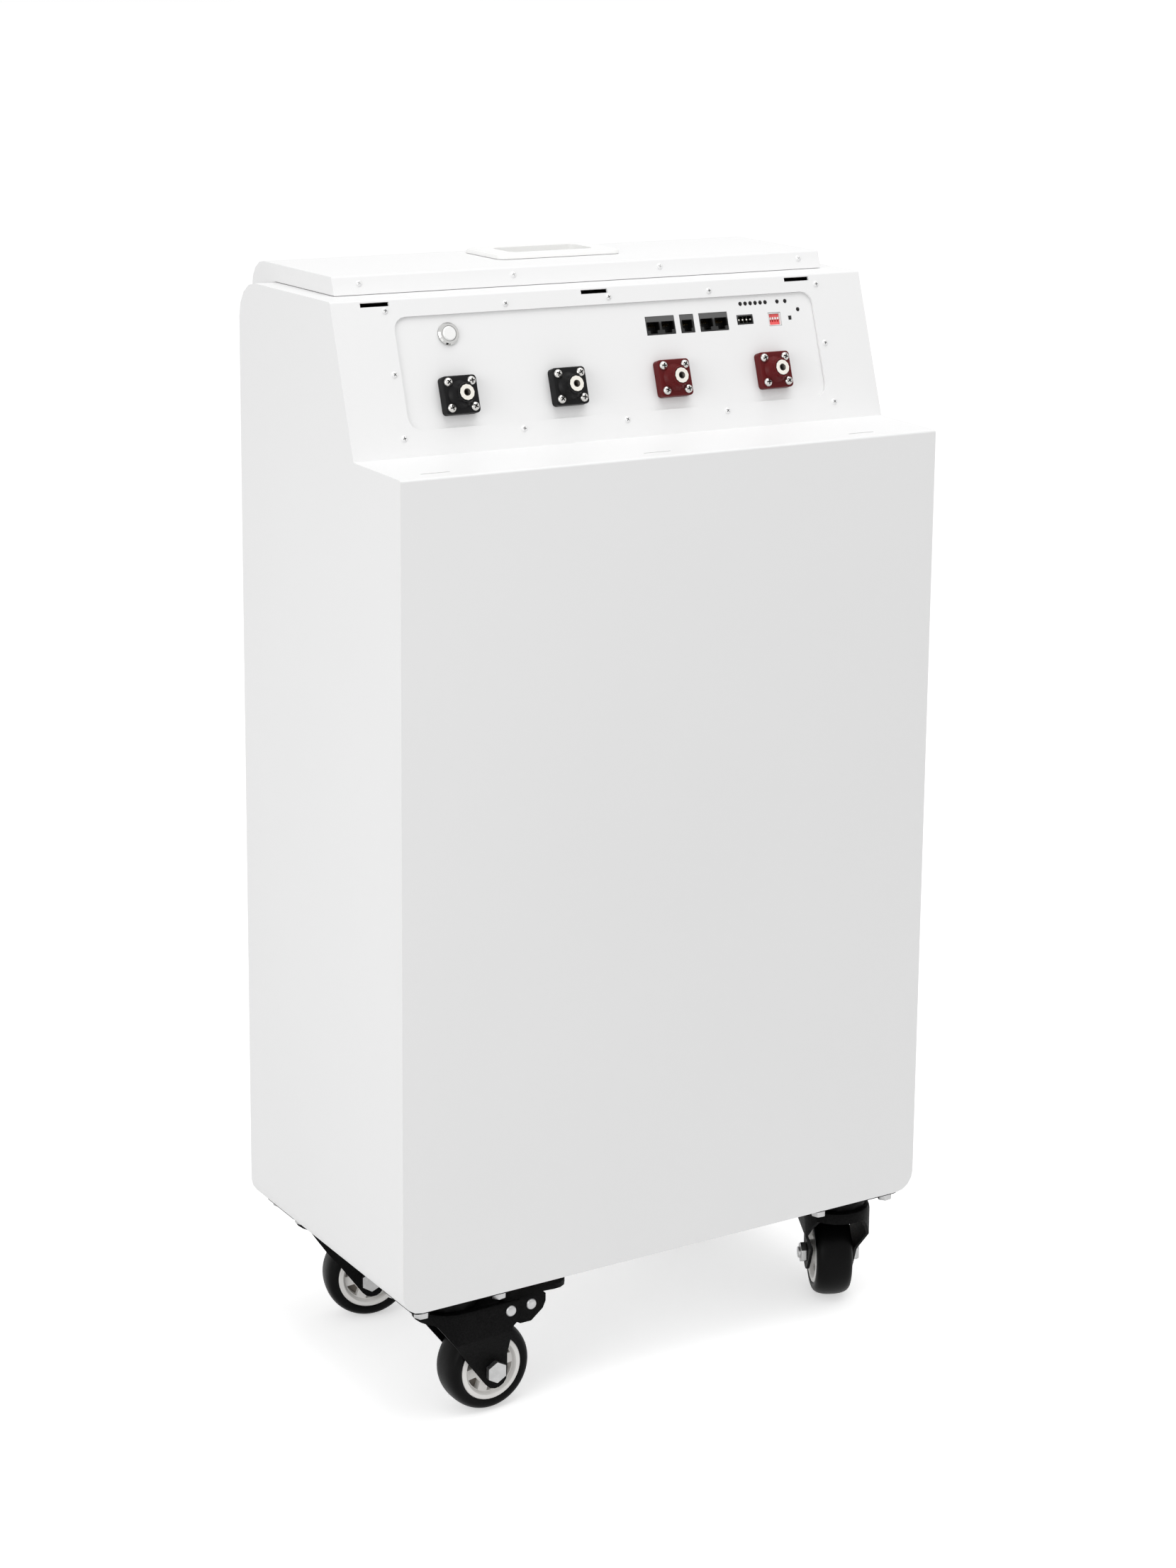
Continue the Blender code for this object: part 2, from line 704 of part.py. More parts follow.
def make_handle():
    outline = fillet(rectangle(HANDLE_LENGTH, HANDLE_WIDTH, HANDLE_CORNER))
    bezel = prism(outline, 0.0, HANDLE_RISE)

    def upper_rim(start, end):
        return min(start.z, end.z) > HANDLE_RISE - 1e-6

    bevel_edges(bezel, upper_rim, HANDLE_CHAMFER, 2)
    handle = add_part("cover_handle", bezel, WHITE_PLASTIC, location=handle_centre())
    holder = empty("handle_frame", handle_centre())
    body = rectangle(HANDLE_LENGTH - 2 * HANDLE_BORDER, HANDLE_WIDTH - HANDLE_BORDER, HANDLE_CORNER)
    floor = HANDLE_RISE - POCKET_DEPTH
    combine(handle, prism(fillet(body), floor - POCKET_FLOOR, HANDLE_RISE / 2), "UNION", holder)
    mouth = rectangle(POCKET_MOUTH_LENGTH, POCKET_MOUTH_WIDTH, POCKET_CORNER)
    combine(handle, prism(fillet(mouth), floor, 2 * HANDLE_RISE), "DIFFERENCE", holder)


def terminal_places():
    return [TERMINAL_FIRST_X + TERMINAL_PITCH * index for index in range(4)]


def jack_places():
    """Name, centre, body width and the mouths of each jack on the panel."""
    half = RJ45_PITCH / 2
    return [
        ("rj45_jack_left", RJ45_LEFT_X, RJ45_BODY_WIDTH, (-half, half), RJ45_MOUTH_WIDTH),
        ("rj11_jack", RJ11_X, RJ11_BODY_WIDTH, (0.0,), RJ11_MOUTH_WIDTH),
        ("rj45_jack_right", RJ45_RIGHT_X, RJ45_BODY_WIDTH, (-half, half), RJ45_MOUTH_WIDTH),
    ]


def led_groups():
    """Name, and the places of the lenses, of each light guide."""
    row = [(LED_ROW_FIRST_X + LED_ROW_PITCH * i, LED_V) for i in range(LED_ROW_COUNT)]
    pair = [(LED_PAIR_FIRST_X + LED_PAIR_PITCH * i, LED_V) for i in range(LED_PAIR_COUNT)]
    return [
        ("charge_level_lights", row),
        ("alarm_lights", pair),
        ("run_light", [(LED_SINGLE_X, LED_SINGLE_V)]),
    ]


def board_edges():
    """The communication board's lowest and highest (x, v)."""
    left = RJ45_LEFT_X - RJ45_BODY_WIDTH / 2 - BOARD_MARGIN
    right = LED_SINGLE_X + LED_STRIP_WIDTH / 2 + BOARD_MARGIN
    low = JACK_V - JACK_HEIGHT / 2 - BOARD_MARGIN
    high = LED_V + LED_STRIP_WIDTH / 2 + BOARD_MARGIN / 2
    return (left, low), (right, high)


def post_places():
    (left, low), (right, high) = board_edges()
    margin = BOARD_MARGIN / 2
    return [(x, v) for x in (left + margin, right - margin) for v in (low + margin, high - margin)]


def window(x, v, width, height):
    """A cutter for a hole in the panel that a piece of this size fits."""
    size = Vector((width / 2 + FIT, height / 2 + FIT, 2 * PANEL_THICKNESS))
    middle = Vector((x, v, PANEL_FACE))
    return block(middle - size, middle + size)


def shift(x, v, depth=0.0):
    return Matrix.Translation((x, v, depth))


def make_panel(frame):
    low = OPENING_LOW - PANEL_OVERLAP
    high = SLOT_LOW - SLOT_CLEARANCE
    width = OPENING_WIDTH + 2 * PANEL_OVERLAP
    outline = rectangle(width, high - low, OPENING_CORNER, (0.0, (low + high) / 2))
    mesh = prism(fillet(outline), PANEL_REAR, PANEL_FACE)
    panel = add_part("connector_panel", mesh, WHITE_PAINT, frame)
    deep = (PANEL_REAR - PANEL_THICKNESS, PANEL_FACE + PANEL_THICKNESS)
    for x in terminal_places():
        cut(panel, rod(SPIGOT_RADIUS + 2 * FIT, *deep, shift(x, TERMINAL_V)))
    cut(panel, rod(BUTTON_BARREL_RADIUS + FIT, *deep, shift(BUTTON_X, BUTTON_V), HOUSING_STEPS))
    for _, x, width, _, _ in jack_places():
        cut(panel, window(x, JACK_V, width, JACK_HEIGHT))
    spare = 2 * DIP_WINDOW_SPARE
    cut(
        panel,
        window(HEADER_X, JACK_V, HEADER_WIDTH, HEADER_HEIGHT),
        window(DIP_X, DIP_V, DIP_WIDTH + spare, DIP_HEIGHT + spare),
        window(RESET_X, RESET_V, RESET_HOLE - 2 * FIT, RESET_HOLE - 2 * FIT),
    )
    for _, places in led_groups():
        for x, v in places:
            cut(panel, rod(LED_RADIUS + FIT, *deep, shift(x, v), TINY_STEPS))
    for x, v in post_places():
        top = PANEL_REAR + PANEL_THICKNESS / 2
        join(panel, rod(POST_RADIUS, PART_FOOT, top, shift(x, v), TINY_STEPS))


def terminal_housing():
    """Square flange, flared boss and rear spigot, bored for the stud."""
    outline = fillet(rectangle(FLANGE_SIDE, FLANGE_SIDE, FLANGE_CORNER), CORNER_STEPS)
    flange = prism(outline, FLANGE_FOOT, FLANGE_FACE)

    def front_rim(start, end):
        return min(start.z, end.z) > FLANGE_FACE - 1e-6

    bevel_edges(flange, front_rim, FLANGE_CORNER / 3, 2)
    housing = draft(flange)
    tip = FLANGE_FACE + BOSS_HEIGHT
    boss = [
        (0.0, tip),
        (BOSS_TIP_RADIUS - FLANGE_CORNER / 6, tip),
        (BOSS_TIP_RADIUS, tip - FLANGE_CORNER / 6),
        (BOSS_NECK_RADIUS, FLANGE_FACE + BOSS_HEIGHT / 2),
        (BOSS_BASE_RADIUS, FLANGE_FACE + BOSS_HEIGHT / 12),
        (BOSS_BASE_RADIUS + FLANGE_CORNER / 2, FLANGE_FACE - FIT),
        (SPIGOT_RADIUS, FLANGE_FACE - FLANGE_THICKNESS / 2),
        (SPIGOT_RADIUS, SPIGOT_END),
        (0.0, SPIGOT_END),
    ]
    join(housing, turned(boss, False, steps=HOUSING_STEPS))
    cut(housing, rod(STUD_RADIUS + FIT, SPIGOT_END - FIT, tip + FIT))
    return baked(housing)


def terminal_stud():
    """Nickel-plated insert with a threaded hole in front and a bolt tail behind."""
    face = FLANGE_FACE + BOSS_HEIGHT + STUD_PROUD
    bottom = face - STUD_HOLE_DEPTH
    shoulder = SPIGOT_END + SEAT_GAP
    tail = SPIGOT_END - SEAT_GAP - BUSBAR_THICKNESS - STUD_TAIL_LENGTH
    profile = [
        (0.0, bottom),
        (STUD_HOLE_RADIUS, bottom),
        (STUD_HOLE_RADIUS, face),
        (STUD_RADIUS, face),
        (STUD_RADIUS, shoulder),
        (STUD_TAIL_RADIUS, shoulder),
        (STUD_TAIL_RADIUS, tail),
        (0.0, tail),
    ]
    return turned(profile, False, steps=SMALL_STEPS)


def make_terminals(frame):
    housing = terminal_housing()
    stud = terminal_stud()
    names = ("negative_1", "negative_2", "positive_1", "positive_2")
    for name, x in zip(names, terminal_places()):
        finish = BLACK_RESIN if name.startswith("negative") else RED_RESIN
        body = add_part(f"terminal_{name}_housing", housing.copy(), finish, frame, (x, TERMINAL_V, 0.0))
        smooth(body)
        smooth(add_part(f"terminal_{name}_stud", stud.copy(), NICKEL, frame, (x, TERMINAL_V, 0.0)))


def make_busbar(name, frame, first, last):
    """A flat bar that joins the tails of two studs."""
    length = last - first + 2 * BUSBAR_OVERHANG
    outline = rectangle(length, BUSBAR_WIDTH, FLANGE_CORNER, ((first + last) / 2, TERMINAL_V))
    front = SPIGOT_END - SEAT_GAP
    bar = add_part(name, prism(fillet(outline), front - BUSBAR_THICKNESS, front), COPPER, frame)
    for x in (first, last):
        deep = (front - 2 * BUSBAR_THICKNESS, front + BUSBAR_THICKNESS)
        cut(bar, rod(STUD_TAIL_RADIUS + FIT, *deep, shift(x, TERMINAL_V)))


def make_button(frame):
    top = FLANGE_FOOT + BUTTON_BEZEL_HEIGHT
    end = FLANGE_FOOT - BUTTON_BARREL_LENGTH
    nut = PANEL_REAR - SEAT_GAP
    bore = BUTTON_CAP_RADIUS + FIT
    well = top - BUTTON_CAP_LENGTH - BUTTON_BORE_SPARE
    profile = [
        (0.0, well),
        (bore, well),
        (bore, top),
        (BUTTON_BEZEL_RADIUS - BUTTON_BEZEL_HEIGHT / 2, top),
        (BUTTON_BEZEL_RADIUS, FLANGE_FOOT + BUTTON_BEZEL_HEIGHT / 2),
        (BUTTON_BEZEL_RADIUS, FLANGE_FOOT),
        (BUTTON_BARREL_RADIUS, FLANGE_FOOT),
        (BUTTON_BARREL_RADIUS, nut),
        (BUTTON_NUT_RADIUS, nut),
        (BUTTON_NUT_RADIUS, nut - BUTTON_NUT_THICKNESS),
        (BUTTON_BARREL_RADIUS, nut - BUTTON_NUT_THICKNESS),
        (BUTTON_BARREL_RADIUS, end),
        (0.0, end),
    ]
    place = (BUTTON_X, BUTTON_V, 0.0)
    smooth(add_part("power_button_body", turned(profile, False, steps=HOUSING_STEPS), NICKEL, frame, place))
    face = top + BUTTON_CAP_PROUD
    cap = [
        (0.0, face),
        (BUTTON_CAP_RADIUS - BUTTON_CAP_PROUD, face),
        (BUTTON_CAP_RADIUS, top),
        (BUTTON_CAP_RADIUS, face - BUTTON_CAP_LENGTH),
        (0.0, face - BUTTON_CAP_LENGTH),
    ]
    smooth(add_part("power_button_cap", turned(cap, False, steps=HOUSING_STEPS), WHITE_PLASTIC, frame, place))


def jack_mouth(x, width, face):
    """Cutters for one socket: the plug's body, and the latch's notch under it."""
    low = JACK_V - JACK_HEIGHT / 2 + JACK_SILL
    high = low + JACK_MOUTH_HEIGHT
    floor = face - JACK_MOUTH_DEPTH
    half = width / 2
    latch = LATCH_WIDTH / 2
    return [
        block((x - half, low, floor), (x + half, high, face + JACK_PROUD)),
        block((x - latch, low - LATCH_HEIGHT, floor), (x + latch, high - LATCH_HEIGHT, face + JACK_PROUD)),
    ]


def make_jacks(frame):
    face = PANEL_FACE + JACK_PROUD
    for name, x, width, mouths, mouth_width in jack_places():
        low = (x - width / 2, JACK_V - JACK_HEIGHT / 2, PART_FOOT)
        high = (x + width / 2, JACK_V + JACK_HEIGHT / 2, face)
        jack = add_part(name, block(low, high), PORT_PLASTIC, frame)
        for offset in mouths:
            cut(jack, *jack_mouth(x + offset, mouth_width, face))


def row_of(count, pitch, centre):
    return [centre + pitch * (index - (count - 1) / 2) for index in range(count)]


def make_header(frame):
    """Shrouded header for a plug of screw terminals, with its row of pins."""
    face = PANEL_FACE + HEADER_PROUD
    floor = face - HEADER_DEPTH
    half = Vector((HEADER_WIDTH / 2, HEADER_HEIGHT / 2, 0.0))
    inner = half - Vector((HEADER_WALL, HEADER_WALL, 0.0))
    middle = Vector((HEADER_X, JACK_V, 0.0))
    low = middle - half + Vector((0, 0, PART_FOOT))
    header = add_part("contact_header", block(low, middle + half + Vector((0, 0, face))), PORT_PLASTIC, frame)
    inner_low = middle - inner + Vector((0, 0, floor))
    cut(header, block(inner_low, middle + inner + Vector((0, 0, face + HEADER_PROUD))))
    for x in row_of(PIN_COUNT, PIN_PITCH, HEADER_X):
        side = PIN_SIDE / 2
        foot = (x - side, JACK_V - side, floor - HEADER_WALL)
        join(header, block(foot, (x + side, JACK_V + side, floor + PIN_LENGTH)))


def make_dip_switch(frame):
    face = PANEL_FACE - DIP_RECESS
    half = Vector((DIP_WIDTH / 2, DIP_HEIGHT / 2, 0.0))
    middle = Vector((DIP_X, DIP_V, 0.0))
    low = middle - half + Vector((0, 0, PART_FOOT))
    body = add_part("dip_switch_body", block(low, middle + half + Vector((0, 0, face))), DIP_RED, frame)
    floor = face - LEVER_WELL
    well_height = LEVER_HEIGHT + LEVER_TRAVEL + 2 * LEVER_SPARE
    well_low = DIP_V - well_height / 2
    side = LEVER_WIDTH / 2
    top = well_low + well_height - LEVER_SPARE
    for number, x in enumerate(row_of(LEVER_COUNT, LEVER_PITCH, DIP_X), start=1):
        wide = side + LEVER_SPARE
        cut(body, block((x - wide, well_low, floor), (x + wide, well_low + well_height, face + LEVER_WELL)))
        foot = (-side, top - LEVER_HEIGHT, floor + LEVER_SPARE)
        lever = block(foot, (side, top, face + LEVER_RISE))
        add_part(f"dip_lever_{number}", lever, WHITE_PLASTIC, frame, (x, 0.0, 0.0))


def make_board(frame):
    (left, low), (right, high) = board_edges()
    rear = BOARD_FACE - BOARD_THICKNESS
    mesh = block((left, low, rear), (right, high, BOARD_FACE))
    board = add_part("communication_board", mesh, CIRCUIT_BOARD, frame)
    half = TACT_SIDE / 2
    tact_foot = BOARD_FACE - BOARD_THICKNESS / 2
    tact_top = BOARD_FACE + TACT_HEIGHT
    tact_low = (RESET_X - half, RESET_V - half, tact_foot)
    join(board, block(tact_low, (RESET_X + half, RESET_V + half, tact_top)))
    side = RESET_HOLE / 2 - FIT
    foot = (-side, -side, tact_top + RESET_TRAVEL + FIT)
    plunger = block(foot, (side, side, PANEL_FACE - RESET_RECESS))
    add_part("reset_plunger", plunger, PORT_PLASTIC, frame, (RESET_X, RESET_V, 0.0))


def make_lights(frame):
    """Light guides: pegs in the panel's holes on a strip that stands on the board."""
    for name, places in led_groups():
        half = LED_STRIP_WIDTH / 2
        (first_x, first_v), (last_x, last_v) = places[0], places[-1]
        strip_top = PART_FOOT + LED_STRIP_HEIGHT
        strip = block((first_x - half, first_v - half, PART_FOOT), (last_x + half, last_v + half, strip_top))
        guide = add_part(name, strip, LENS, frame)
        for x, v in places:
            peg_low = strip_top - LED_STRIP_HEIGHT / 2
            join(guide, rod(LED_RADIUS, peg_low, PANEL_FACE - LED_RECESS, shift(x, v), TINY_STEPS))


def stack_outline():
    """A pile of flat cells, drawn with the gap that each insulating sheet leaves at the rim."""
    right = []
    left = []
    for index in range(CELLS_PER_STACK):
        low = index * CELL_PITCH
        high = low + CELL_THICKNESS
        right += [(CELL_LENGTH, low), (CELL_LENGTH, high)]
        left += [(0.0, low), (0.0, high)]
        if index < CELLS_PER_STACK - 1:
            right += [(CELL_LENGTH - CELL_SHEET_RIM, high), (CELL_LENGTH - CELL_SHEET_RIM, high + CELL_SHEET)]
            left += [(CELL_SHEET_RIM, high), (CELL_SHEET_RIM, high + CELL_SHEET)]
    return right + left[::-1]


def make_cells():
    half = CELL_LENGTH + STACK_GAP / 2
    front = CASE_FRONT + CELL_SETBACK
    back = front + CELL_WIDTH
    base = CASE_BOTTOM + SHEET + SEAT_GAP
    foot = base + PLATE_THICKNESS + SEAT_GAP
    head = foot + CELLS_PER_STACK * CELL_PITCH - CELL_SHEET
    top = head + SEAT_GAP
    add_part("cell_base_plate", block((-half, front, base), (half, back, base + PLATE_THICKNESS)), ALUMINIUM)
    add_part("cell_top_plate", block((-half, front, top), (half, back, top + PLATE_THICKNESS)), ALUMINIUM)
    for name, x in (("cell_stack_left", -half), ("cell_stack_right", STACK_GAP / 2)):
        mesh = prism(stack_outline(), -CELL_WIDTH / 2, CELL_WIDTH / 2, XZ_PROFILE)
        add_part(name, mesh, CELL_WRAP, location=(x, front + CELL_WIDTH / 2, foot))
    make_module(top + PLATE_THICKNESS + SEAT_GAP, (front + back) / 2)


def make_module(foot, middle_y):
    """Battery management module with a finned top, on the plate over the cells."""
    half_x = MODULE_LENGTH / 2
    half_y = MODULE_WIDTH / 2
    top = foot + MODULE_HEIGHT
    low = (-half_x, middle_y - half_y, foot)
    module = add_part("management_module", block(low, (half_x, middle_y + half_y, top)), ALUMINIUM)
    pitch = MODULE_WIDTH / MODULE_FIN_COUNT
    for y in row_of(MODULE_FIN_COUNT - 1, pitch, middle_y):
        groove_low = (-half_x - SHEET, y - pitch / 4, top - MODULE_FIN_DEPTH)
        cut(module, block(groove_low, (half_x + SHEET, y + pitch / 4, top + SHEET)))


def caster_plate():
    """Top plate with the swivel race under it and the kingpin that holds the fork."""
    top = CASTER_HEIGHT - SEAT_GAP
    under = CASTER_HEIGHT - CASTER_PLATE
    outline = fillet(rectangle(CASTER_PLATE_LENGTH, CASTER_PLATE_WIDTH, CASTER_PLATE_CORNER))
    plate = draft(prism(outline, under, top))
    race_low = under - RACE_HEIGHT
    head = FORK_UNDER - SEAT_GAP
    profile = [
        (0.0, under + CASTER_PLATE / 2),
        (RACE_RADIUS, under + CASTER_PLATE / 2),
        (RACE_RADIUS, under - RACE_HEIGHT / 3),
        (RACE_RADIUS - RACE_HEIGHT / 4, race_low),
        (KINGPIN_RADIUS, race_low),
        (KINGPIN_RADIUS, head),
        (KINGPIN_HEAD_RADIUS, head),
        (KINGPIN_HEAD_RADIUS - KINGPIN_HEAD / 2, head - KINGPIN_HEAD),
        (0.0, head - KINGPIN_HEAD),
    ]
    join(plate, turned(profile, False, steps=SMALL_STEPS))
    return baked(plate)


def fork_corners(braked):
    """The fork's side view as (x, z, radius), with the wheel trailing towards +X."""
    nose_low = FORK_TOP - FORK_SKIRT
    run = AXLE_X + FORK_NOSE
    drop = nose_low - WHEEL_RADIUS
    slant = math.atan2(drop, run) + math.asin(FORK_ARM_FRONT / math.hypot(run, drop))
    rear = AXLE_X + FORK_ARM_REAR
    tip = nose_low - (rear + FORK_NOSE) * math.tan(slant)
    heel = PIVOT_X + PIVOT_EYE if braked else rear + FORK_HEEL
    heel_low = PIVOT_Z - PIVOT_EYE
    front = -FORK_DRUM_RADIUS - FORK_WALL
    return [
        (front, nose_low, 0.0),
        (-FORK_NOSE, nose_low, FORK_BEND),
        (rear, tip, FORK_EYE),
        (rear, heel_low - FORK_HEEL, FORK_BEND),
        (heel, heel_low, FORK_BEND),
        (heel, FORK_TOP + FORK_WALL, 0.0),
        (front, FORK_TOP + FORK_WALL, 0.0),
    ]


def fork_form(margin, top, bend):
    """A round crown whose sides run back and taper to the axle, moved inwards by a margin."""
    half = FORK_DRUM_RADIUS - margin
    reach = PIVOT_X + 2 * PIVOT_EYE
    above = rectangle(2 * reach, 2 * half, half, (reach - half, 0.0))
    mesh = prism(fillet(above, NOSE_STEPS), -margin, top)
    if bend > 0.0:
        bevel_edges(mesh, lambda start, end: min(start.z, end.z) > top - 1e-6, bend, 2)
    form = draft(mesh)
    waist = FORK_HALF - margin
    wide = half + FIT
    ceiling = FORK_TOP + FORK_WALL
    right = [(waist, -FORK_WALL), (waist, FORK_WAIST_Z), (wide, FORK_SHOULDER_Z), (wide, ceiling)]
    left = [(-y, z) for y, z in reversed(right)]
    combine(form, prism(right + left, -2 * reach, 2 * reach, YZ_PROFILE), "INTERSECT")
    return baked(form)


def fork(braked):
    """Pressed fork: a round crown with two arms, and on a braked caster the pedal's pivot pin."""
    wide = FORK_DRUM_RADIUS + FORK_WALL
    body = draft(prism(fillet(fork_corners(braked), NOSE_STEPS), -wide, wide, XZ_PROFILE))
    combine(body, fork_form(0.0, FORK_TOP, FORK_BEND), "INTERSECT")
    cut(body, fork_form(FORK_WALL, FORK_UNDER, 0.0))
    inside = FORK_DRUM_RADIUS - FORK_WALL
    notch_low = (PIVOT_X - PIVOT_EYE, -inside, FORK_UNDER - FORK_WALL)
    cut(body, block(notch_low, (PIVOT_X + 3 * PIVOT_EYE, inside, FORK_TOP + FORK_WALL)))
    axle_place = Matrix.Translation((AXLE_X, 0.0, WHEEL_RADIUS)) @ ALONG_Y
    cut(body, rod(AXLE_RADIUS + RUN_CLEARANCE, -2 * FORK_HALF, 2 * FORK_HALF, axle_place))
    cut(body, rod(KINGPIN_RADIUS + RUN_CLEARANCE, FORK_UNDER - FORK_WALL, FORK_TOP + FORK_WALL))
    if braked:
        pin_place = Matrix.Translation((PIVOT_X, 0.0, PIVOT_Z)) @ ALONG_Y
        join(body, rivet(PIVOT_RADIUS, FORK_DRUM_RADIUS, pin_place))
    return baked(body)


def rivet(radius, half_span, place):
    """A cross pin with a domed head on each side."""
    head = half_span + RIVET_HEAD
    profile = [
        (0.0, head),
        (RIVET_HEAD_RADIUS / 2, head - RIVET_HEAD / 6),
        (RIVET_HEAD_RADIUS, half_span - FORK_WALL / 4),
        (radius, half_span - FORK_WALL / 4),
    ]
    mirrored = [(r, -z) for r, z in reversed(profile)]
    return turned(profile + mirrored, False, place, steps=RIVET_STEPS)


def axle():
    """Bolt through the fork and the hub, with a hex head in front and a nut behind."""
    place = Matrix.Translation((AXLE_X, 0.0, WHEEL_RADIUS)) @ ALONG_Y
    seat = FORK_HALF + SEAT_GAP
    corner = AXLE_HEAD_ACROSS / 2 / math.cos(math.radians(30))
    body = draft(rod(AXLE_RADIUS, -seat - AXLE_HEAD - AXLE_TIP, seat + AXLE_HEAD / 2, place))
    join(body, rod(corner, seat, seat + AXLE_HEAD, place, 6))
    join(body, rod(corner, -seat - AXLE_HEAD, -seat, place, 6))
    return baked(body)


def hub():
    """Moulded hub: rim, dished web with pockets between spokes, and boss."""
    outer = WHEEL_RADIUS - TYRE_THICKNESS - RUN_CLEARANCE
    half_rim = HUB_RIM_WIDTH / 2
    half_boss = FORK_HALF_INSIDE - HUB_SIDE_PLAY
    half_web = HUB_WEB / 2
    inner = outer - HUB_RIM
    bore = AXLE_RADIUS + RUN_CLEARANCE
    half = [
        (outer, half_rim),
        (inner, half_rim),
        (inner - HUB_RIM / 4, half_web),
        (HUB_BOSS_RADIUS + HUB_RIM / 3, half_web),
        (HUB_BOSS_RADIUS, half_boss),
        (bore, half_boss),
    ]
    profile = half + [(r, -z) for r, z in reversed(half)]
    wheel = draft(turned(profile, True, ALONG_Y, WHEEL_STEPS))
    pocket_outer = inner - HUB_RIM / 4 - POCKET_EDGE
    pocket_inner = HUB_BOSS_RADIUS + HUB_RIM / 3 + SPOKE_WIDTH / 4
    for number in range(POCKET_COUNT):
        turn = Matrix.Rotation(2 * math.pi * number / POCKET_COUNT, 4, "Y")
        outline = pocket_outline(pocket_inner, pocket_outer)
        for side in (-1, 1):
            low, high = sorted((side * (half_web - POCKET_SINK), side * (half_web + POCKET_SINK)))
            cut(wheel, prism(outline, low, high, turn @ ALONG_Y))
    wheel_mesh = baked(wheel)
    wheel_mesh.transform(Matrix.Translation((AXLE_X, 0.0, WHEEL_RADIUS)))
    return wheel_mesh


def pocket_outline(inner, outer):
    """The gap between two spokes: a sector with sides parallel to the spokes."""
    share = math.pi / POCKET_COUNT
    points = []
    for radius, direction in ((inner, 1), (outer, -1)):
        reach = share - math.asin(SPOKE_WIDTH / 2 / radius)
        for side in (1, -1):
            angle = direction * side * reach
            points.append((radius * math.cos(angle), radius * math.sin(angle)))
    return points


def tyre():
    """Tread ring with a low crown and rounded shoulders."""
    half = TYRE_WIDTH / 2
    inner = WHEEL_RADIUS - TYRE_THICKNESS
    side = half - TYRE_SHOULDER_RUN
    profile = [(inner, HUB_RIM_WIDTH / 2)]
    for step in range(SHOULDER_STEPS + 1):
        angle = math.pi / 2 * step / SHOULDER_STEPS
        drop = TYRE_SHOULDER_DROP * (1 - math.sin(angle))
        profile.append((WHEEL_RADIUS - TYRE_CROWN - drop, side + TYRE_SHOULDER_RUN * math.cos(angle)))
    profile.append((WHEEL_RADIUS, 0.0))
    whole = profile + [(r, -z) for r, z in reversed(profile[:-1])]
    return turned(whole, True, Matrix.Translation((AXLE_X, 0.0, WHEEL_RADIUS)) @ ALONG_Y)


def pedal():
    """Foot brake: two cheeks on the pivot pin, a tread plate, and a shoe over the tyre."""
    half = FORK_DRUM_RADIUS - FORK_WALL - RUN_CLEARANCE
    roof = FORK_TOP - PEDAL_TOP_DROP
    eye_low = PIVOT_Z - PIVOT_EYE + PEDAL_SHEET
    front = PIVOT_X - PIVOT_EYE + PEDAL_SHEET
    back = PIVOT_X + PEDAL_CHEEK
    shoe_front = PIVOT_X + SHOE_BEHIND_PIVOT
    cheek_low = PIVOT_Z - CHEEK_BELOW_PIVOT
    corners = [
        (front, eye_low, PEDAL_SHEET),
        (shoe_front, cheek_low, PEDAL_SHEET / 2),
        (shoe_front + SHOE_LENGTH, cheek_low, PEDAL_SHEET / 2),
        (back - PEDAL_SHEET, eye_low, PEDAL_SHEET),
        (back, PIVOT_Z, PEDAL_SHEET),
        (back, roof, 0.0),
        (front, roof, 2 * PEDAL_SHEET),
    ]
    body = draft(prism(fillet(corners, CORNER_STEPS), -half, half, XZ_PROFILE))
    inside = half - PEDAL_WALL
    room_low = (front - PEDAL_SHEET, -inside, cheek_low + PEDAL_SHEET)
    cut(body, block(room_low, (back + PEDAL_SHEET, inside, roof - PEDAL_SHEET)))
    shoe_low = (shoe_front, -SHOE_WIDTH / 2, PIVOT_Z - SHOE_BELOW_PIVOT)
    join(body, block(shoe_low, (shoe_front + SHOE_LENGTH, SHOE_WIDTH / 2, cheek_low + PEDAL_SHEET / 2)))
    pin_place = Matrix.Translation((PIVOT_X, 0.0, PIVOT_Z)) @ ALONG_Y
    cut(body, rod(PIVOT_RADIUS + RUN_CLEARANCE, -2 * half, 2 * half, pin_place))
    join(body, pedal_tongue(roof))
    stud_place = Matrix.Translation((PIVOT_X + PEDAL_STUD_BEHIND, 0.0, PIVOT_Z)) @ ALONG_Y
    join(body, rivet(PIVOT_RADIUS, half, stud_place))
    return baked(body)


def pedal_tongue(roof):
    """The tread that the foot presses: a tongue with a thick, rounded lip."""
    start = PIVOT_X + PIVOT_EYE
    bend = PIVOT_X + PEDAL_CHEEK
    tip = PIVOT_X + PEDAL_TONGUE
    under = roof - PEDAL_SHEET
    tip_top = roof + PEDAL_TIP_RISE
    below = [(start, under), (bend, under), (tip, tip_top - PEDAL_LIP)]
    outline = below + [(tip, tip_top), (bend, roof), (start, roof)]
    half = PEDAL_TONGUE_WIDTH / 2
    mesh = prism(outline, -half, half, XZ_PROFILE)

    def tip_corner(first, second):
        return min(first.x, second.x) > tip - 1e-6 and abs(first.y - second.y) < 1e-6

    return bevel_edges(mesh, tip_corner, half - FIT, BEND_STEPS)


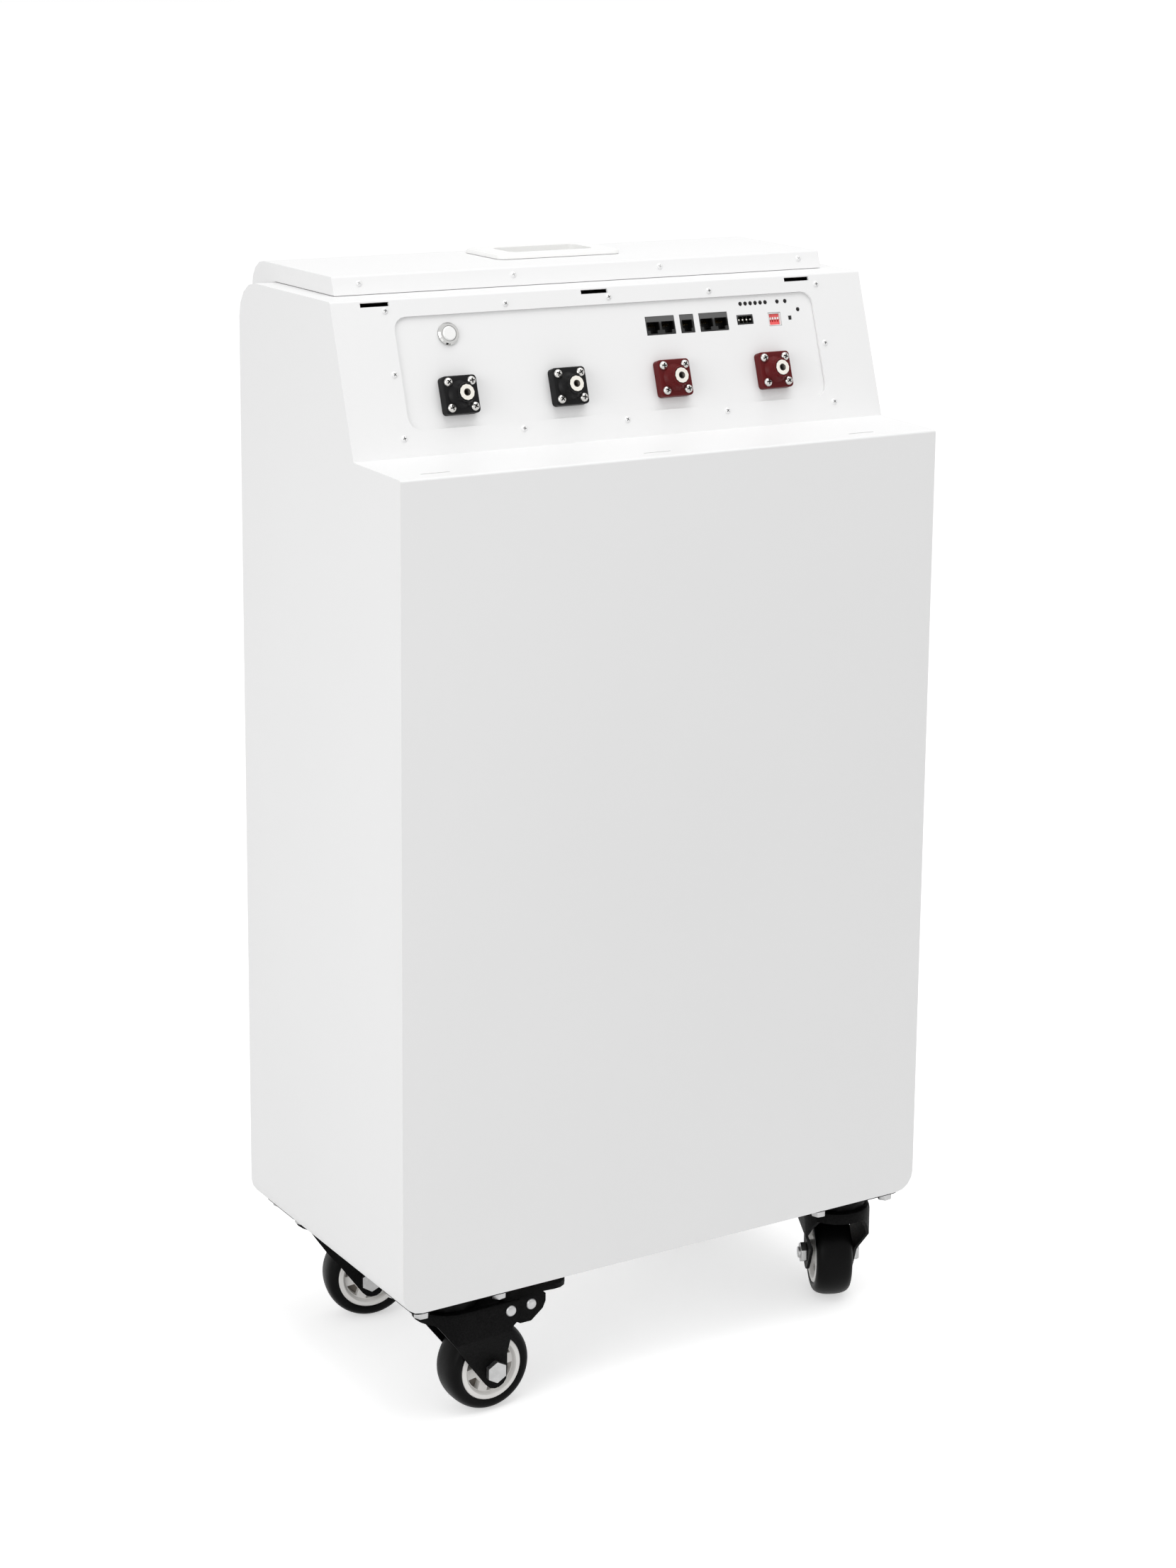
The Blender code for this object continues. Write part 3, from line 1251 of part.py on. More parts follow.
def make_casters():
    x = CASE_WIDTH / 2 - CASTER_SIDE_MARGIN
    front = CASE_FRONT + CASTER_END_MARGIN
    back = CASE_BACK - CASTER_END_MARGIN
    corners = [
        ("front_left", (-x, front, 0.0), FRONT_LEFT_TRAIL, True),
        ("front_right", (x, front, 0.0), FRONT_RIGHT_TRAIL, True),
        ("rear_left", (-x, back, 0.0), REAR_LEFT_TRAIL, False),
        ("rear_right", (x, back, 0.0), REAR_RIGHT_TRAIL, False),
    ]
    plate_mesh = caster_plate()
    forks = {braked: fork(braked) for braked in (True, False)}
    axle_mesh = axle()
    hub_mesh = hub()
    tyre_mesh = tyre()
    pedal_mesh = pedal()
    wheel_centre = Vector((AXLE_X, 0.0, WHEEL_RADIUS))
    pivot = Vector((PIVOT_X, 0.0, PIVOT_Z))
    for corner, place, trail, braked in corners:
        mount = empty(f"{corner}_mount", place)
        swivel = empty(f"{corner}_swivel", (0, 0, 0), (0, 0, math.radians(trail)), mount)
        smooth(add_part(f"{corner}_caster_plate", plate_mesh.copy(), BLACK_STEEL, mount))
        smooth(add_part(f"{corner}_fork", forks[braked].copy(), BLACK_STEEL, swivel))
        smooth(add_part(f"{corner}_axle", axle_mesh.copy(), ZINC, swivel))
        wheel = empty(f"{corner}_wheel", wheel_centre, parent=swivel)
        for name, mesh, finish in (("hub", hub_mesh, HUB_PLASTIC), ("tyre", tyre_mesh, TYRE_RUBBER)):
            centred = mesh.copy()
            centred.transform(Matrix.Translation(-wheel_centre))
            smooth(add_part(f"{corner}_{name}", centred, finish, wheel))
        if braked:
            hinge = empty(f"{corner}_brake", pivot, parent=swivel)
            centred = pedal_mesh.copy()
            centred.transform(Matrix.Translation(-pivot))
            smooth(add_part(f"{corner}_brake_pedal", centred, BLACK_STEEL, hinge))


def main():
    panel = empty("panel_frame", (0.0, SLOPE_FOOT_Y, SLOPE_FOOT_Z), (SLOPE_TILT, 0.0, 0.0))
    make_case(panel)
    make_cover()
    make_handle()
    make_panel(panel)
    make_terminals(panel)
    first, second, third, fourth = terminal_places()
    make_busbar("negative_busbar", panel, first, second)
    make_busbar("positive_busbar", panel, third, fourth)
    make_button(panel)
    make_jacks(panel)
    make_header(panel)
    make_dip_switch(panel)
    make_board(panel)
    make_lights(panel)
    make_cells()
    make_casters()


clear_scene()
PARTS = new_collection("battery_cabinet", False)
CUTTERS = new_collection("cutters", True)
main()
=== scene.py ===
"""Looks for the battery cabinet: finishes, fine wheels and terminals, fasteners, contacts and light."""

import json
import math

import bmesh
import bpy
from mathutils import Matrix, Vector


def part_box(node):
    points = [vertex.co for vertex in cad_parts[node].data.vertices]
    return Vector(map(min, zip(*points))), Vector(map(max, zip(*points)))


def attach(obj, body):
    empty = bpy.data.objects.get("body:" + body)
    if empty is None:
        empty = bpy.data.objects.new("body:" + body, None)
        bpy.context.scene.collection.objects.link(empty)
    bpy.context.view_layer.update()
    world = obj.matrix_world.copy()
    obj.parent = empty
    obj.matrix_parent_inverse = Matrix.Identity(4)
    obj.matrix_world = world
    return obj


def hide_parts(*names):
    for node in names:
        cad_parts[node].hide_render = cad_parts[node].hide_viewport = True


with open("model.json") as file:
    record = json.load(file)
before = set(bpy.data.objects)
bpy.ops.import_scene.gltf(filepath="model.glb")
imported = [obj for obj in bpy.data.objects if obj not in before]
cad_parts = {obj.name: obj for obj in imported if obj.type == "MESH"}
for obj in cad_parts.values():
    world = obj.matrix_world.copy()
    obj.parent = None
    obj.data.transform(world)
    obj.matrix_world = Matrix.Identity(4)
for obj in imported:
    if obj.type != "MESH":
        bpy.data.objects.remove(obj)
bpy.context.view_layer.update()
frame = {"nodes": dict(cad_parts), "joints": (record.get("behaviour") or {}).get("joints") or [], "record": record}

# The photograph's frame and the camera fitted to it
PHOTO_WIDTH = 1659
PHOTO_HEIGHT = 2212
PRINCIPAL_X = 1019.5
PRINCIPAL_Y = 793.0
FOCAL_PIXELS = 4470.2
SENSOR = 36.0
CAMERA_AZIMUTH = math.radians(-33.528)
CAMERA_ELEVATION = math.radians(11.85)
CAMERA_ROLL = math.radians(1.016)
CAMERA_DISTANCE = 2.7112
CAMERA_TARGET = Vector((0.1325, -0.0075, 0.6557))

# The slope that carries the connector panel, in metres, as in the part's source
SLOPE_FOOT = Vector((0.0, -0.0705, 0.7835))
SLOPE_TILT = math.atan2(0.119, 0.039)
PANEL_FACE = -0.0023

# Power terminals
TERMINAL_X = (-0.1510, -0.0517, 0.0476, 0.1469)
TERMINAL_NAMES = ("negative_1", "negative_2", "positive_1", "positive_2")
TERMINAL_V = 0.0455
FLANGE_SIDE = 0.0305
FLANGE_CORNER = 0.0032
FLANGE_FOOT = -0.0020
FLANGE_FACE = 0.0055
FLANGE_EDGE = 0.0010
BOSS_TIP = 0.0150
BOSS_BASE_RADIUS = 0.0116
BOSS_TIP_RADIUS = 0.0077
BOSS_EDGE = 0.0005
BOSS_EDGE_STEPS = 2
FLARE_STEPS = 9
FLARE_POWER = 2.6
SPIGOT_RADIUS = 0.0110
SPIGOT_END = -0.0120
STUD_BORE_RADIUS = 0.0067
STUD_FACE = 0.0154
THREAD_RADIUS = 0.0029
THREAD_DEPTH = 0.0005
THREAD_PITCH = 0.0010
THREAD_TURNS = 9
THREAD_SHARP_ANGLE = math.radians(70)

# Screws, with domes as shares of a head's radius and rise, and recesses as shares of the head
SCREW_DOME = ((0.0, 1.0), (0.25, 0.985), (0.5, 0.93), (0.72, 0.80), (0.88, 0.58), (0.97, 0.32), (1.0, 0.0))
RECESS_LENGTH = 1.15
RECESS_FLOOR = 0.2
RECESS_REACH = 0.62
TERMINAL_SCREW_SPACING = 0.0205
TERMINAL_SCREW_RADIUS = 0.0037
TERMINAL_SCREW_RISE = 0.0024
SCREW_ARM = 0.28
FIRST_SCREW_TURN = 17
NEXT_SCREW_TURN = 38
NEXT_TERMINAL_TURN = 23
PANEL_SCREW_RADIUS = 0.0026
PANEL_SCREW_RISE = 0.0013
PAINTED_SCREW_ARM = 0.22
PANEL_SCREW_COLUMNS = (-0.2038, -0.0969, -0.0010, 0.0959, 0.2038)
PANEL_SCREW_V = (0.0151, 0.1160)
PANEL_SIDE_SCREW_V = 0.0655
PANEL_SCREW_TWIST = 290.0
COVER_SCREW_X = (-0.2085, -0.0697, 0.0697, 0.2095)
COVER_SCREW_RISE = 0.009
COVER_SCREW_TWIST = 41.0
COVER_FRONT_Y = -0.0025
COVER_FRONT_RUN = 0.0053
COVER_HEIGHT = 0.015
DECK_Z = 0.9025

# Ports on the panel
JACK_V = 0.0903
JACK_MOUTH_HIGH = 0.0934
JACK_MOUTH_DEPTH = 0.0080
JACK_MOUTHS = {"rj45_left": (0.0387, 0.0527), "rj11": (0.0717,), "rj45_right": (0.0908, 0.1048)}
RJ45_WIRES = 8
RJ11_WIRES = 6
WIRE_PITCH = 0.00102
WIRE_WIDTH = 0.0005
WIRE_BACK_GAP = 0.0004
WIRE_FRONT_DEPTH = 0.0040
WIRE_ROOF_GAP = 0.0005
WIRE_DROP = 0.0030
WIRE_SHARE = 0.96
HEADER_X = 0.1289
HEADER_FLOOR = -0.0099
HEADER_ROOM = 0.0060
PIN_COUNT = 4
PIN_PITCH = 0.00381
PIN_SIDE = 0.0012
PIN_LENGTH = 0.0067
RIB_WIDTH = 0.0006
RIB_LENGTH = 0.0045
DIP_X = 0.1587
DIP_V = 0.0890
DIP_WIDTH = 0.0106
DIP_HEIGHT = 0.0092
DIP_GAP = 0.0007
DIP_BEZEL_FRONT = 0.0004
DIP_BEZEL_BACK = 0.0030
LED_PEG_END = -0.0026
LED_RADIUS = 0.0015
LED_RISE = 0.0009
LED_DOME_STEPS = 5
LED_V = 0.1037
LED_ROW_FIRST = 0.1265
LED_ROW_PITCH = 0.005
LED_ROW_COUNT = 6
LED_PAIR_X = (0.1636, 0.1716)
LED_SINGLE = (0.1833, 0.0960)

# Casters
CASTER_CORNERS = ("front_left", "front_right", "rear_left", "rear_right")
BRAKED_CORNERS = ("front_left", "front_right")
WHEEL_RADIUS = 0.0375
TYRE_HALF = 0.016
TYRE_INNER = 0.0273
TYRE_DROP = 0.0077
TYRE_FULLNESS = 2.5
TYRE_STEPS = 20
RUBBER_EDGE = 0.0006
HUB_RADIUS = 0.0270
HUB_HALF_RIM = 0.0157
HUB_RIM = 0.0046
HUB_HALF_WEB = 0.0120
HUB_BOSS_RADIUS = 0.0105
HUB_HALF_BOSS = 0.0174
HUB_BORE = 0.0053
POCKET_COUNT = 6
POCKET_STEPS = 4
HUB_TURN = math.radians(20)
POCKET_SINK = 0.0060
POCKET_EDGE = 0.0005
SPOKE_WIDTH = 0.0085
WHEEL_STEPS = 72
PLATE_UNDER = 0.0022
NUT_SPACING_X = 0.070
NUT_SPACING_Y = 0.044
NUT_ACROSS = 0.0115
NUT_HEIGHT = 0.0060
NUT_EDGE = 0.0009
NUT_SIDE_TWIST = 1.3
NUT_END_TWIST = 2.1
STUD_RADIUS = 0.0032
STUD_TIP = 0.0010
STUD_CHAMFER = 0.0006
STUD_THREAD_START = 0.0003
STUD_THREAD_TURNS = 4
STUD_THREAD_PITCH = 0.0008
STUD_THREAD_DEPTH = 0.0004
RIVET_DOME = ((0.0, 1.0), (0.3, 0.97), (0.55, 0.88), (0.78, 0.68), (0.93, 0.38), (1.0, 0.0))
RIVET_RADIUS = 0.0047
RIVET_RISE = 0.0021
PIVOT_HALF = 0.0290
PEDAL_HALF = 0.0261
PEDAL_STUD_BEHIND = 0.0205

# Rounding that the bends, paint and mouldings show, and the steps of round forms
SHEET_EDGE = 0.0008
PRESSED_EDGE = 0.0005
FINE_EDGE = 0.0002
SMOOTH_ANGLE = math.radians(38)
FLAT_ANGLE = math.radians(0.2)
WELD_DISTANCE = 1e-6
EDGE_STEPS = 4
BORE_STEPS = 48
HEAD_STEPS = 24
LENS_STEPS = 20
STUD_STEPS = 16

# How far the ports' painted light and shade reach, out of the panel and up from their mouths: painted shade,
# black, deep in the sockets, and painted light, grey, on the top strip
PAINTED_SHADE_DEPTH = (-0.0019, 0.0002)
PAINTED_LIGHT_STRIP = (-0.0016, 0.0004)
PAINTED_LIGHT_BELOW_STRIP = 0.22
PORT_BLACK = (0.002, 0.002, 0.002)
PORT_GREY = (0.105, 0.105, 0.105)

# Stage, with each lamp's name, place, aim, size and power in watts
FLOOR_Z = -0.0005
FLOOR_HALF = 30.0
FLOOR_COLOUR = (0.82, 0.82, 0.82)
FLOOR_GLOW = 0.50
WORLD_LIGHT = 0.66
LAMPS = (
    ("overhead_softbox", (0.2, -0.6, 2.9), (0.0, 0.0, 0.7), (2.2, 1.6), 27),
    ("left_softbox", (-2.8, -1.2, 1.5), (0.0, 0.0, 0.5), (1.4, 2.0), 26),
)


def set_input(node, name, value):
    node.inputs[name].default_value = value


def new_material(name, colour, roughness, metallic=0.0, specular=0.5):
    made = bpy.data.materials.new(name)
    made.use_nodes = True
    tree = made.node_tree
    shader = tree.nodes["Principled BSDF"]
    set_input(shader, "Base Color", (*colour, 1.0))
    set_input(shader, "Roughness", roughness)
    set_input(shader, "Metallic", metallic)
    set_input(shader, "Specular IOR Level", specular)
    return made, tree, shader


def noise(tree, place, scale, detail=2.0, roughness=0.5):
    node = tree.nodes.new("ShaderNodeTexNoise")
    set_input(node, "Scale", scale)
    set_input(node, "Detail", detail)
    set_input(node, "Roughness", roughness)
    tree.links.new(place, node.inputs["Vector"])
    return node.outputs["Fac"]


def spread(tree, value, start, end, low, high):
    """A value's range from start to end, mapped to low to high."""
    node = tree.nodes.new("ShaderNodeMapRange")
    set_input(node, "From Min", start)
    set_input(node, "From Max", end)
    set_input(node, "To Min", low)
    set_input(node, "To Max", high)
    tree.links.new(value, node.inputs["Value"])
    return node.outputs["Result"]


def ramp(tree, value, start, dark, end, light):
    node = tree.nodes.new("ShaderNodeValToRGB")
    first, last = node.color_ramp.elements
    first.position = start
    first.color = (*dark, 1.0)
    last.position = end
    last.color = (*light, 1.0)
    tree.links.new(value, node.inputs["Fac"])
    return node.outputs["Color"]


def bump(tree, shader, height, depth):
    node = tree.nodes.new("ShaderNodeBump")
    set_input(node, "Strength", 1.0)
    set_input(node, "Distance", depth)
    tree.links.new(height, node.inputs["Height"])
    tree.links.new(node.outputs["Normal"], shader.inputs["Normal"])


def object_place(tree):
    return tree.nodes.new("ShaderNodeTexCoord").outputs["Object"]


def shades(colour, tint):
    """A darker and a lighter shade of a colour."""
    dark = tuple(channel * (1.0 - tint) for channel in colour)
    light = tuple(min(channel * (1.0 + tint), 1.0) for channel in colour)
    return dark, light


def grained(
    name, colour, roughness, grain, depth, tint=0.04, metallic=0.0, sway=0.06, cloud=9.0, specular=0.5
):
    """A finish with a fine grain of a depth in metres, clouds in its colour and uneven gloss."""
    made, tree, shader = new_material(name, colour, roughness, metallic, specular)
    place = object_place(tree)
    dark, light = shades(colour, tint)
    clouds = noise(tree, place, cloud, 3.0)
    tree.links.new(ramp(tree, clouds, 0.3, dark, 0.7, light), shader.inputs["Base Color"])
    fine = noise(tree, place, grain, 2.0, 0.6)
    gloss = spread(tree, fine, 0.3, 0.7, max(roughness - sway, 0.02), min(roughness + sway, 1.0))
    tree.links.new(gloss, shader.inputs["Roughness"])
    bump(tree, shader, fine, depth)
    return made


def along(tree, place, direction, origin):
    """How far each point lies from an origin along a direction."""
    share = tree.nodes.new("ShaderNodeVectorMath")
    share.operation = "DOT_PRODUCT"
    share.inputs[1].default_value = direction
    tree.links.new(place, share.inputs[0])
    offset = tree.nodes.new("ShaderNodeMath")
    offset.operation = "SUBTRACT"
    offset.inputs[1].default_value = direction.dot(origin)
    tree.links.new(share.outputs["Value"], offset.inputs[0])
    return offset.outputs["Value"]


def port_finish():
    """Black moulding with painted light and shade: its top strip is painted greyer, as if lit from above, than its
    sides, and the depth of its sockets is painted black as shade.
    """
    made, tree, shader = new_material("port_moulding", (0.03, 0.03, 0.03), 0.40, specular=0.25)
    place = object_place(tree)
    turn = panel_matrix().to_3x3()
    origin = panel_matrix() @ Vector((0, JACK_MOUTH_HIGH, PANEL_FACE))
    outward = along(tree, place, turn @ Vector((0, 0, 1)), origin)
    front = spread(tree, outward, *PAINTED_SHADE_DEPTH, 0.0, 1.0)
    upward = along(tree, place, turn @ Vector((0, 1, 0)), origin)
    strip = spread(tree, upward, *PAINTED_LIGHT_STRIP, PAINTED_LIGHT_BELOW_STRIP, 1.0)
    # Painted light and shade: grey on the lit top strip of the faces, black as the shade inside the sockets
    painted_light_share = tree.nodes.new("ShaderNodeMath")
    painted_light_share.operation = "MULTIPLY"
    tree.links.new(front, painted_light_share.inputs[0])
    tree.links.new(strip, painted_light_share.inputs[1])
    colour = ramp(tree, painted_light_share.outputs["Value"], 0.0, PORT_BLACK, 1.0, PORT_GREY)
    tree.links.new(colour, shader.inputs["Base Color"])
    fine = noise(tree, place, 1800.0, 2.0, 0.6)
    tree.links.new(spread(tree, fine, 0.3, 0.7, 0.32, 0.48), shader.inputs["Roughness"])
    bump(tree, shader, fine, 0.00001)
    return made


def make_finishes():
    """One procedural finish for each material slot of the record, and a few for small pieces."""
    white = (0.83, 0.83, 0.83)
    ivory = (0.86, 0.845, 0.82)
    paint = (0.0030, 0.0030, 0.0031)
    rubber = (0.0022, 0.0022, 0.0023)
    black = (0.006, 0.006, 0.0065)
    red = (0.108, 0.0075, 0.0085)
    lens = (0.006, 0.005, 0.005)
    bright = (0.60, 0.60, 0.59)
    nickel = (0.89, 0.86, 0.79)
    copper = (0.72, 0.42, 0.30)
    aluminium = (0.62, 0.62, 0.63)
    zinc = (0.46, 0.46, 0.46)
    steel = (0.62, 0.61, 0.59)
    thread = (0.10, 0.09, 0.08)
    gold = (0.80, 0.58, 0.24)
    return {
        "white_powder_coat": grained(
            "powder_coat", white, 0.46, 620.0, 0.00003, tint=0.01, sway=0.08, cloud=3.0, specular=0.4
        ),
        "white_plastic": grained("white_moulding", (0.86, 0.86, 0.85), 0.32, 1400.0, 0.00001, tint=0.01),
        "black_resin": grained("black_moulding", black, 0.36, 1500.0, 0.00003, tint=0.15, specular=0.15),
        "red_resin": grained("red_moulding", red, 0.34, 1500.0, 0.00003, tint=0.12, specular=0.14),
        "nickel_plate": grained(
            "nickel", nickel, 0.28, 2600.0, 0.000004, tint=0.03, metallic=1.0, sway=0.08
        ),
        "tinned_copper": grained(
            "copper_bar", copper, 0.34, 900.0, 0.00001, tint=0.08, metallic=1.0, sway=0.10
        ),
        "port_plastic": port_finish(),
        "dip_red": grained("dip_moulding", (0.84, 0.115, 0.115), 0.42, 1800.0, 0.00001, tint=0.05),
        "dark_lens": grained("lens", lens, 0.12, 300.0, 0.000002, tint=0.2, sway=0.03, specular=0.2),
        "circuit_board": grained("solder_resist", (0.02, 0.15, 0.06), 0.4, 500.0, 0.00002, tint=0.2),
        "cell_wrap": grained("cell_film", (0.05, 0.15, 0.40), 0.35, 60.0, 0.00005, tint=0.1),
        "aluminium": grained(
            "bare_aluminium", aluminium, 0.40, 700.0, 0.00001, tint=0.05, metallic=1.0, sway=0.10
        ),
        "black_painted_steel": grained(
            "black_paint", paint, 0.50, 900.0, 0.00012, tint=0.7, sway=0.10, cloud=700.0, specular=0.05
        ),
        "zinc_plate": grained(
            "zinc", zinc, 0.36, 900.0, 0.00001, tint=0.08, metallic=1.0, sway=0.10, cloud=160.0
        ),
        "hub_plastic": grained("hub_moulding", ivory, 0.40, 900.0, 0.00002, tint=0.03),
        "tyre_rubber": grained(
            "tread_rubber", rubber, 0.40, 1100.0, 0.00003, tint=0.25, sway=0.08, cloud=40.0, specular=0.08
        ),
        "polished_ring": grained(
            "polished_ring", bright, 0.12, 2600.0, 0.000002, tint=0.02, metallic=1.0, sway=0.04
        ),
        # Painted shade: the threaded hole of each stud in dark metal
        "thread_painted_shade": grained("thread_painted_shade", thread, 0.45, 900.0, 0.00001, tint=0.2, metallic=1.0),
        # Painted shade: a dark brown-grey for the floors of the hub's pockets
        "hub_pocket": grained("hub_pocket", (0.17, 0.15, 0.13), 0.55, 900.0, 0.00002, tint=0.10),
        "screw_steel": grained(
            "screw_steel", steel, 0.26, 2200.0, 0.000006, tint=0.05, metallic=1.0, sway=0.08
        ),
        # Painted shade in the screws' cross recesses: near black for the steel screws, grey for the painted panel
        # screws
        "recess": grained("screw_recess", (0.020, 0.018, 0.017), 0.6, 900.0, 0.00001, tint=0.2),
        "grey_recess": grained("grey_recess", (0.12, 0.12, 0.12), 0.6, 900.0, 0.00001, tint=0.1),
        "gold_contact": grained("gold_contact", gold, 0.25, 2000.0, 0.000003, tint=0.05, metallic=1.0),
        "header_olive": grained("header_moulding", (0.020, 0.022, 0.012), 0.42, 1500.0, 0.00001, tint=0.2),
    }


# Width of the rounded edges on the solids of each material slot
EDGE_WIDTHS = {
    "white_powder_coat": SHEET_EDGE,
    "black_painted_steel": PRESSED_EDGE,
    "zinc_plate": PRESSED_EDGE,
    "white_plastic": FINE_EDGE,
    "nickel_plate": FINE_EDGE,
    "port_plastic": FINE_EDGE,
    "dip_red": FINE_EDGE,
}


def smooth_group():
    """A node group that shades a mesh smooth, apart from its sharp edges."""
    group = bpy.data.node_groups.new("smooth_by_angle", "GeometryNodeTree")
    group.interface.new_socket("Geometry", in_out="INPUT", socket_type="NodeSocketGeometry")
    group.interface.new_socket("Geometry", in_out="OUTPUT", socket_type="NodeSocketGeometry")
    nodes = group.nodes
    start = nodes.new("NodeGroupInput")
    end = nodes.new("NodeGroupOutput")
    faces = nodes.new("GeometryNodeSetShadeSmooth")
    edges = nodes.new("GeometryNodeSetShadeSmooth")
    edges.domain = "EDGE"
    set_input(edges, "Shade Smooth", False)
    angle = nodes.new("GeometryNodeInputMeshEdgeAngle")
    compare = nodes.new("FunctionNodeCompare")
    compare.operation = "GREATER_THAN"
    set_input(compare, "B", SMOOTH_ANGLE)
    links = group.links
    links.new(start.outputs[0], faces.inputs["Geometry"])
    links.new(angle.outputs["Unsigned Angle"], compare.inputs["A"])
    links.new(compare.outputs["Result"], edges.inputs["Selection"])
    links.new(faces.outputs["Geometry"], edges.inputs["Geometry"])
    links.new(edges.outputs["Geometry"], end.inputs[0])
    return group


def soften(obj, group, width):
    """Welds the faceted mesh, joins its flats, rounds its edges a little and shades it smooth."""
    weld = obj.modifiers.new("weld", "WELD")
    weld.merge_threshold = WELD_DISTANCE
    flats = obj.modifiers.new("flats", "DECIMATE")
    flats.decimate_type = "DISSOLVE"
    flats.angle_limit = FLAT_ANGLE
    if width > 0.0:
        rounding = obj.modifiers.new("edge", "BEVEL")
        rounding.width = width
        rounding.segments = 2
        rounding.limit_method = "ANGLE"
        rounding.angle_limit = SMOOTH_ANGLE
    smooth = obj.modifiers.new("smooth", "NODES")
    smooth.node_group = group
    even = obj.modifiers.new("even", "WEIGHTED_NORMAL")
    even.keep_sharp = True


def dress_nodes(finishes, group):
    """Gives each solid the finish of its material slot and soft edges."""
    special = {"power_button_body": "polished_ring"}
    for entry in frame["record"]["subparts"]:
        obj = frame["nodes"][entry["node"]]
        slot = entry["material_slot"]
        obj.data.materials.clear()
        obj.data.materials.append(finishes[special.get(entry["node"], slot)])
        soften(obj, group, EDGE_WIDTHS.get(slot, 0.0))


def panel_matrix():
    """From (x, up the slope, out of the slope) to the cabinet's frame."""
    return Matrix.Translation(SLOPE_FOOT) @ Matrix.Rotation(SLOPE_TILT, 4, "X")


def on_panel(x, v, out=0.0):
    return panel_matrix() @ Matrix.Translation((x, v, out))


def to_mesh(work, name):
    mesh = bpy.data.meshes.new(name)
    work.to_mesh(mesh)
    work.free()
    return mesh


def shaded(mesh, angle=SMOOTH_ANGLE):
    mesh.shade_smooth()
    mesh.set_sharp_from_angle(angle=angle)
    return mesh


def lathe(profile, steps, closed=False):
    """A profile of (radius, height) points turned round Z, as a closed mesh."""
    work = bmesh.new()
    verts = [work.verts.new((radius, 0.0, height)) for radius, height in profile]
    pairs = list(zip(verts, verts[1:]))
    if closed:
        pairs.append((verts[-1], verts[0]))
    edges = [work.edges.new(pair) for pair in pairs]
    bmesh.ops.spin(
        work,
        geom=verts + edges,
        cent=(0, 0, 0),
        axis=(0, 0, 1),
        angle=2 * math.pi,
        steps=steps,
        use_duplicate=False,
    )
    bmesh.ops.remove_doubles(work, verts=work.verts, dist=1e-7)
    bmesh.ops.recalc_face_normals(work, faces=work.faces)
    return to_mesh(work, "lathe")


def stacked(rings):
    """A closed mesh through rings of equal length, with flat ends."""
    work = bmesh.new()
    loops = [[work.verts.new(point) for point in ring] for ring in rings]
    count = len(loops[0])
    for lower, upper in zip(loops, loops[1:]):
        for index in range(count):
            after = (index + 1) % count
            work.faces.new((lower[index], lower[after], upper[after], upper[index]))
    work.faces.new(reversed(loops[0]))
    work.faces.new(loops[-1])
    bmesh.ops.recalc_face_normals(work, faces=work.faces)
    return to_mesh(work, "stack")


def rounded_square(side, corner, z, steps=6):
    """The points of a square with round corners at a height."""
    points = []
    reach = side / 2 - corner
    for quarter in range(4):
        centre = Matrix.Rotation(math.pi / 2 * quarter, 2) @ Vector((reach, reach))
        for step in range(steps + 1):
            angle = math.pi / 2 * (quarter + step / steps)
            points.append((centre.x + corner * math.cos(angle), centre.y + corner * math.sin(angle), z))
    return points


def rounded_block(side, corner, low, high, edge):
    """A square plate with round corners and a rounded front edge."""
    rings = [rounded_square(side, corner, low)]
    for step in range(EDGE_STEPS + 1):
        angle = math.pi / 2 * step / EDGE_STEPS
        shrink = edge * (1 - math.cos(angle))
        rings.append(rounded_square(side - 2 * shrink, corner - shrink, high - edge + edge * math.sin(angle)))
    return stacked(rings)


def combined(mesh, other, operation):
    """The union or difference of two meshes."""
    scene = bpy.context.scene.collection
    body = bpy.data.objects.new("body", mesh)
    tool = bpy.data.objects.new("tool", other)
    scene.objects.link(body)
    scene.objects.link(tool)
    boolean = body.modifiers.new("combine", "BOOLEAN")
    boolean.operation = operation
    boolean.solver = "EXACT"
    boolean.object = tool
    bpy.context.view_layer.update()
    result = bpy.data.meshes.new_from_object(body.evaluated_get(bpy.context.evaluated_depsgraph_get()))
    bpy.data.objects.remove(body)
    bpy.data.objects.remove(tool)
    result.materials.clear()
    return result


def blocks(boxes):
    """One mesh of the boxes given as (centre, size, turn)."""
    work = bmesh.new()
    for centre, size, turn in boxes:
        place = Matrix.Translation(centre) @ turn @ Matrix.Diagonal((*size, 1.0))
        bmesh.ops.create_cube(work, size=1.0, matrix=place)
    return to_mesh(work, "blocks")


def add_copy(work, mesh, place):
    """Adds a copy of a mesh, moved to its place, to a mesh in work."""
    before = len(work.verts)
    work.from_mesh(mesh)
    work.verts.ensure_lookup_table()
    bmesh.ops.transform(work, matrix=place, verts=work.verts[before:])


def stamped(name, mesh, places):
    """One object made of copies of a mesh at each of the places."""
    work = bmesh.new()
    for place in places:
        add_copy(work, mesh, place)
    result = to_mesh(work, name)
    for finish in mesh.materials:
        result.materials.append(finish)
    obj = bpy.data.objects.new(name, result)
    bpy.context.scene.collection.objects.link(obj)
    return obj


def placed(name, mesh, places, finish, body):
    """A finished piece that rides on a body."""
    if not mesh.materials:
        mesh.materials.append(finish)
    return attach(stamped(name, mesh, places), body)


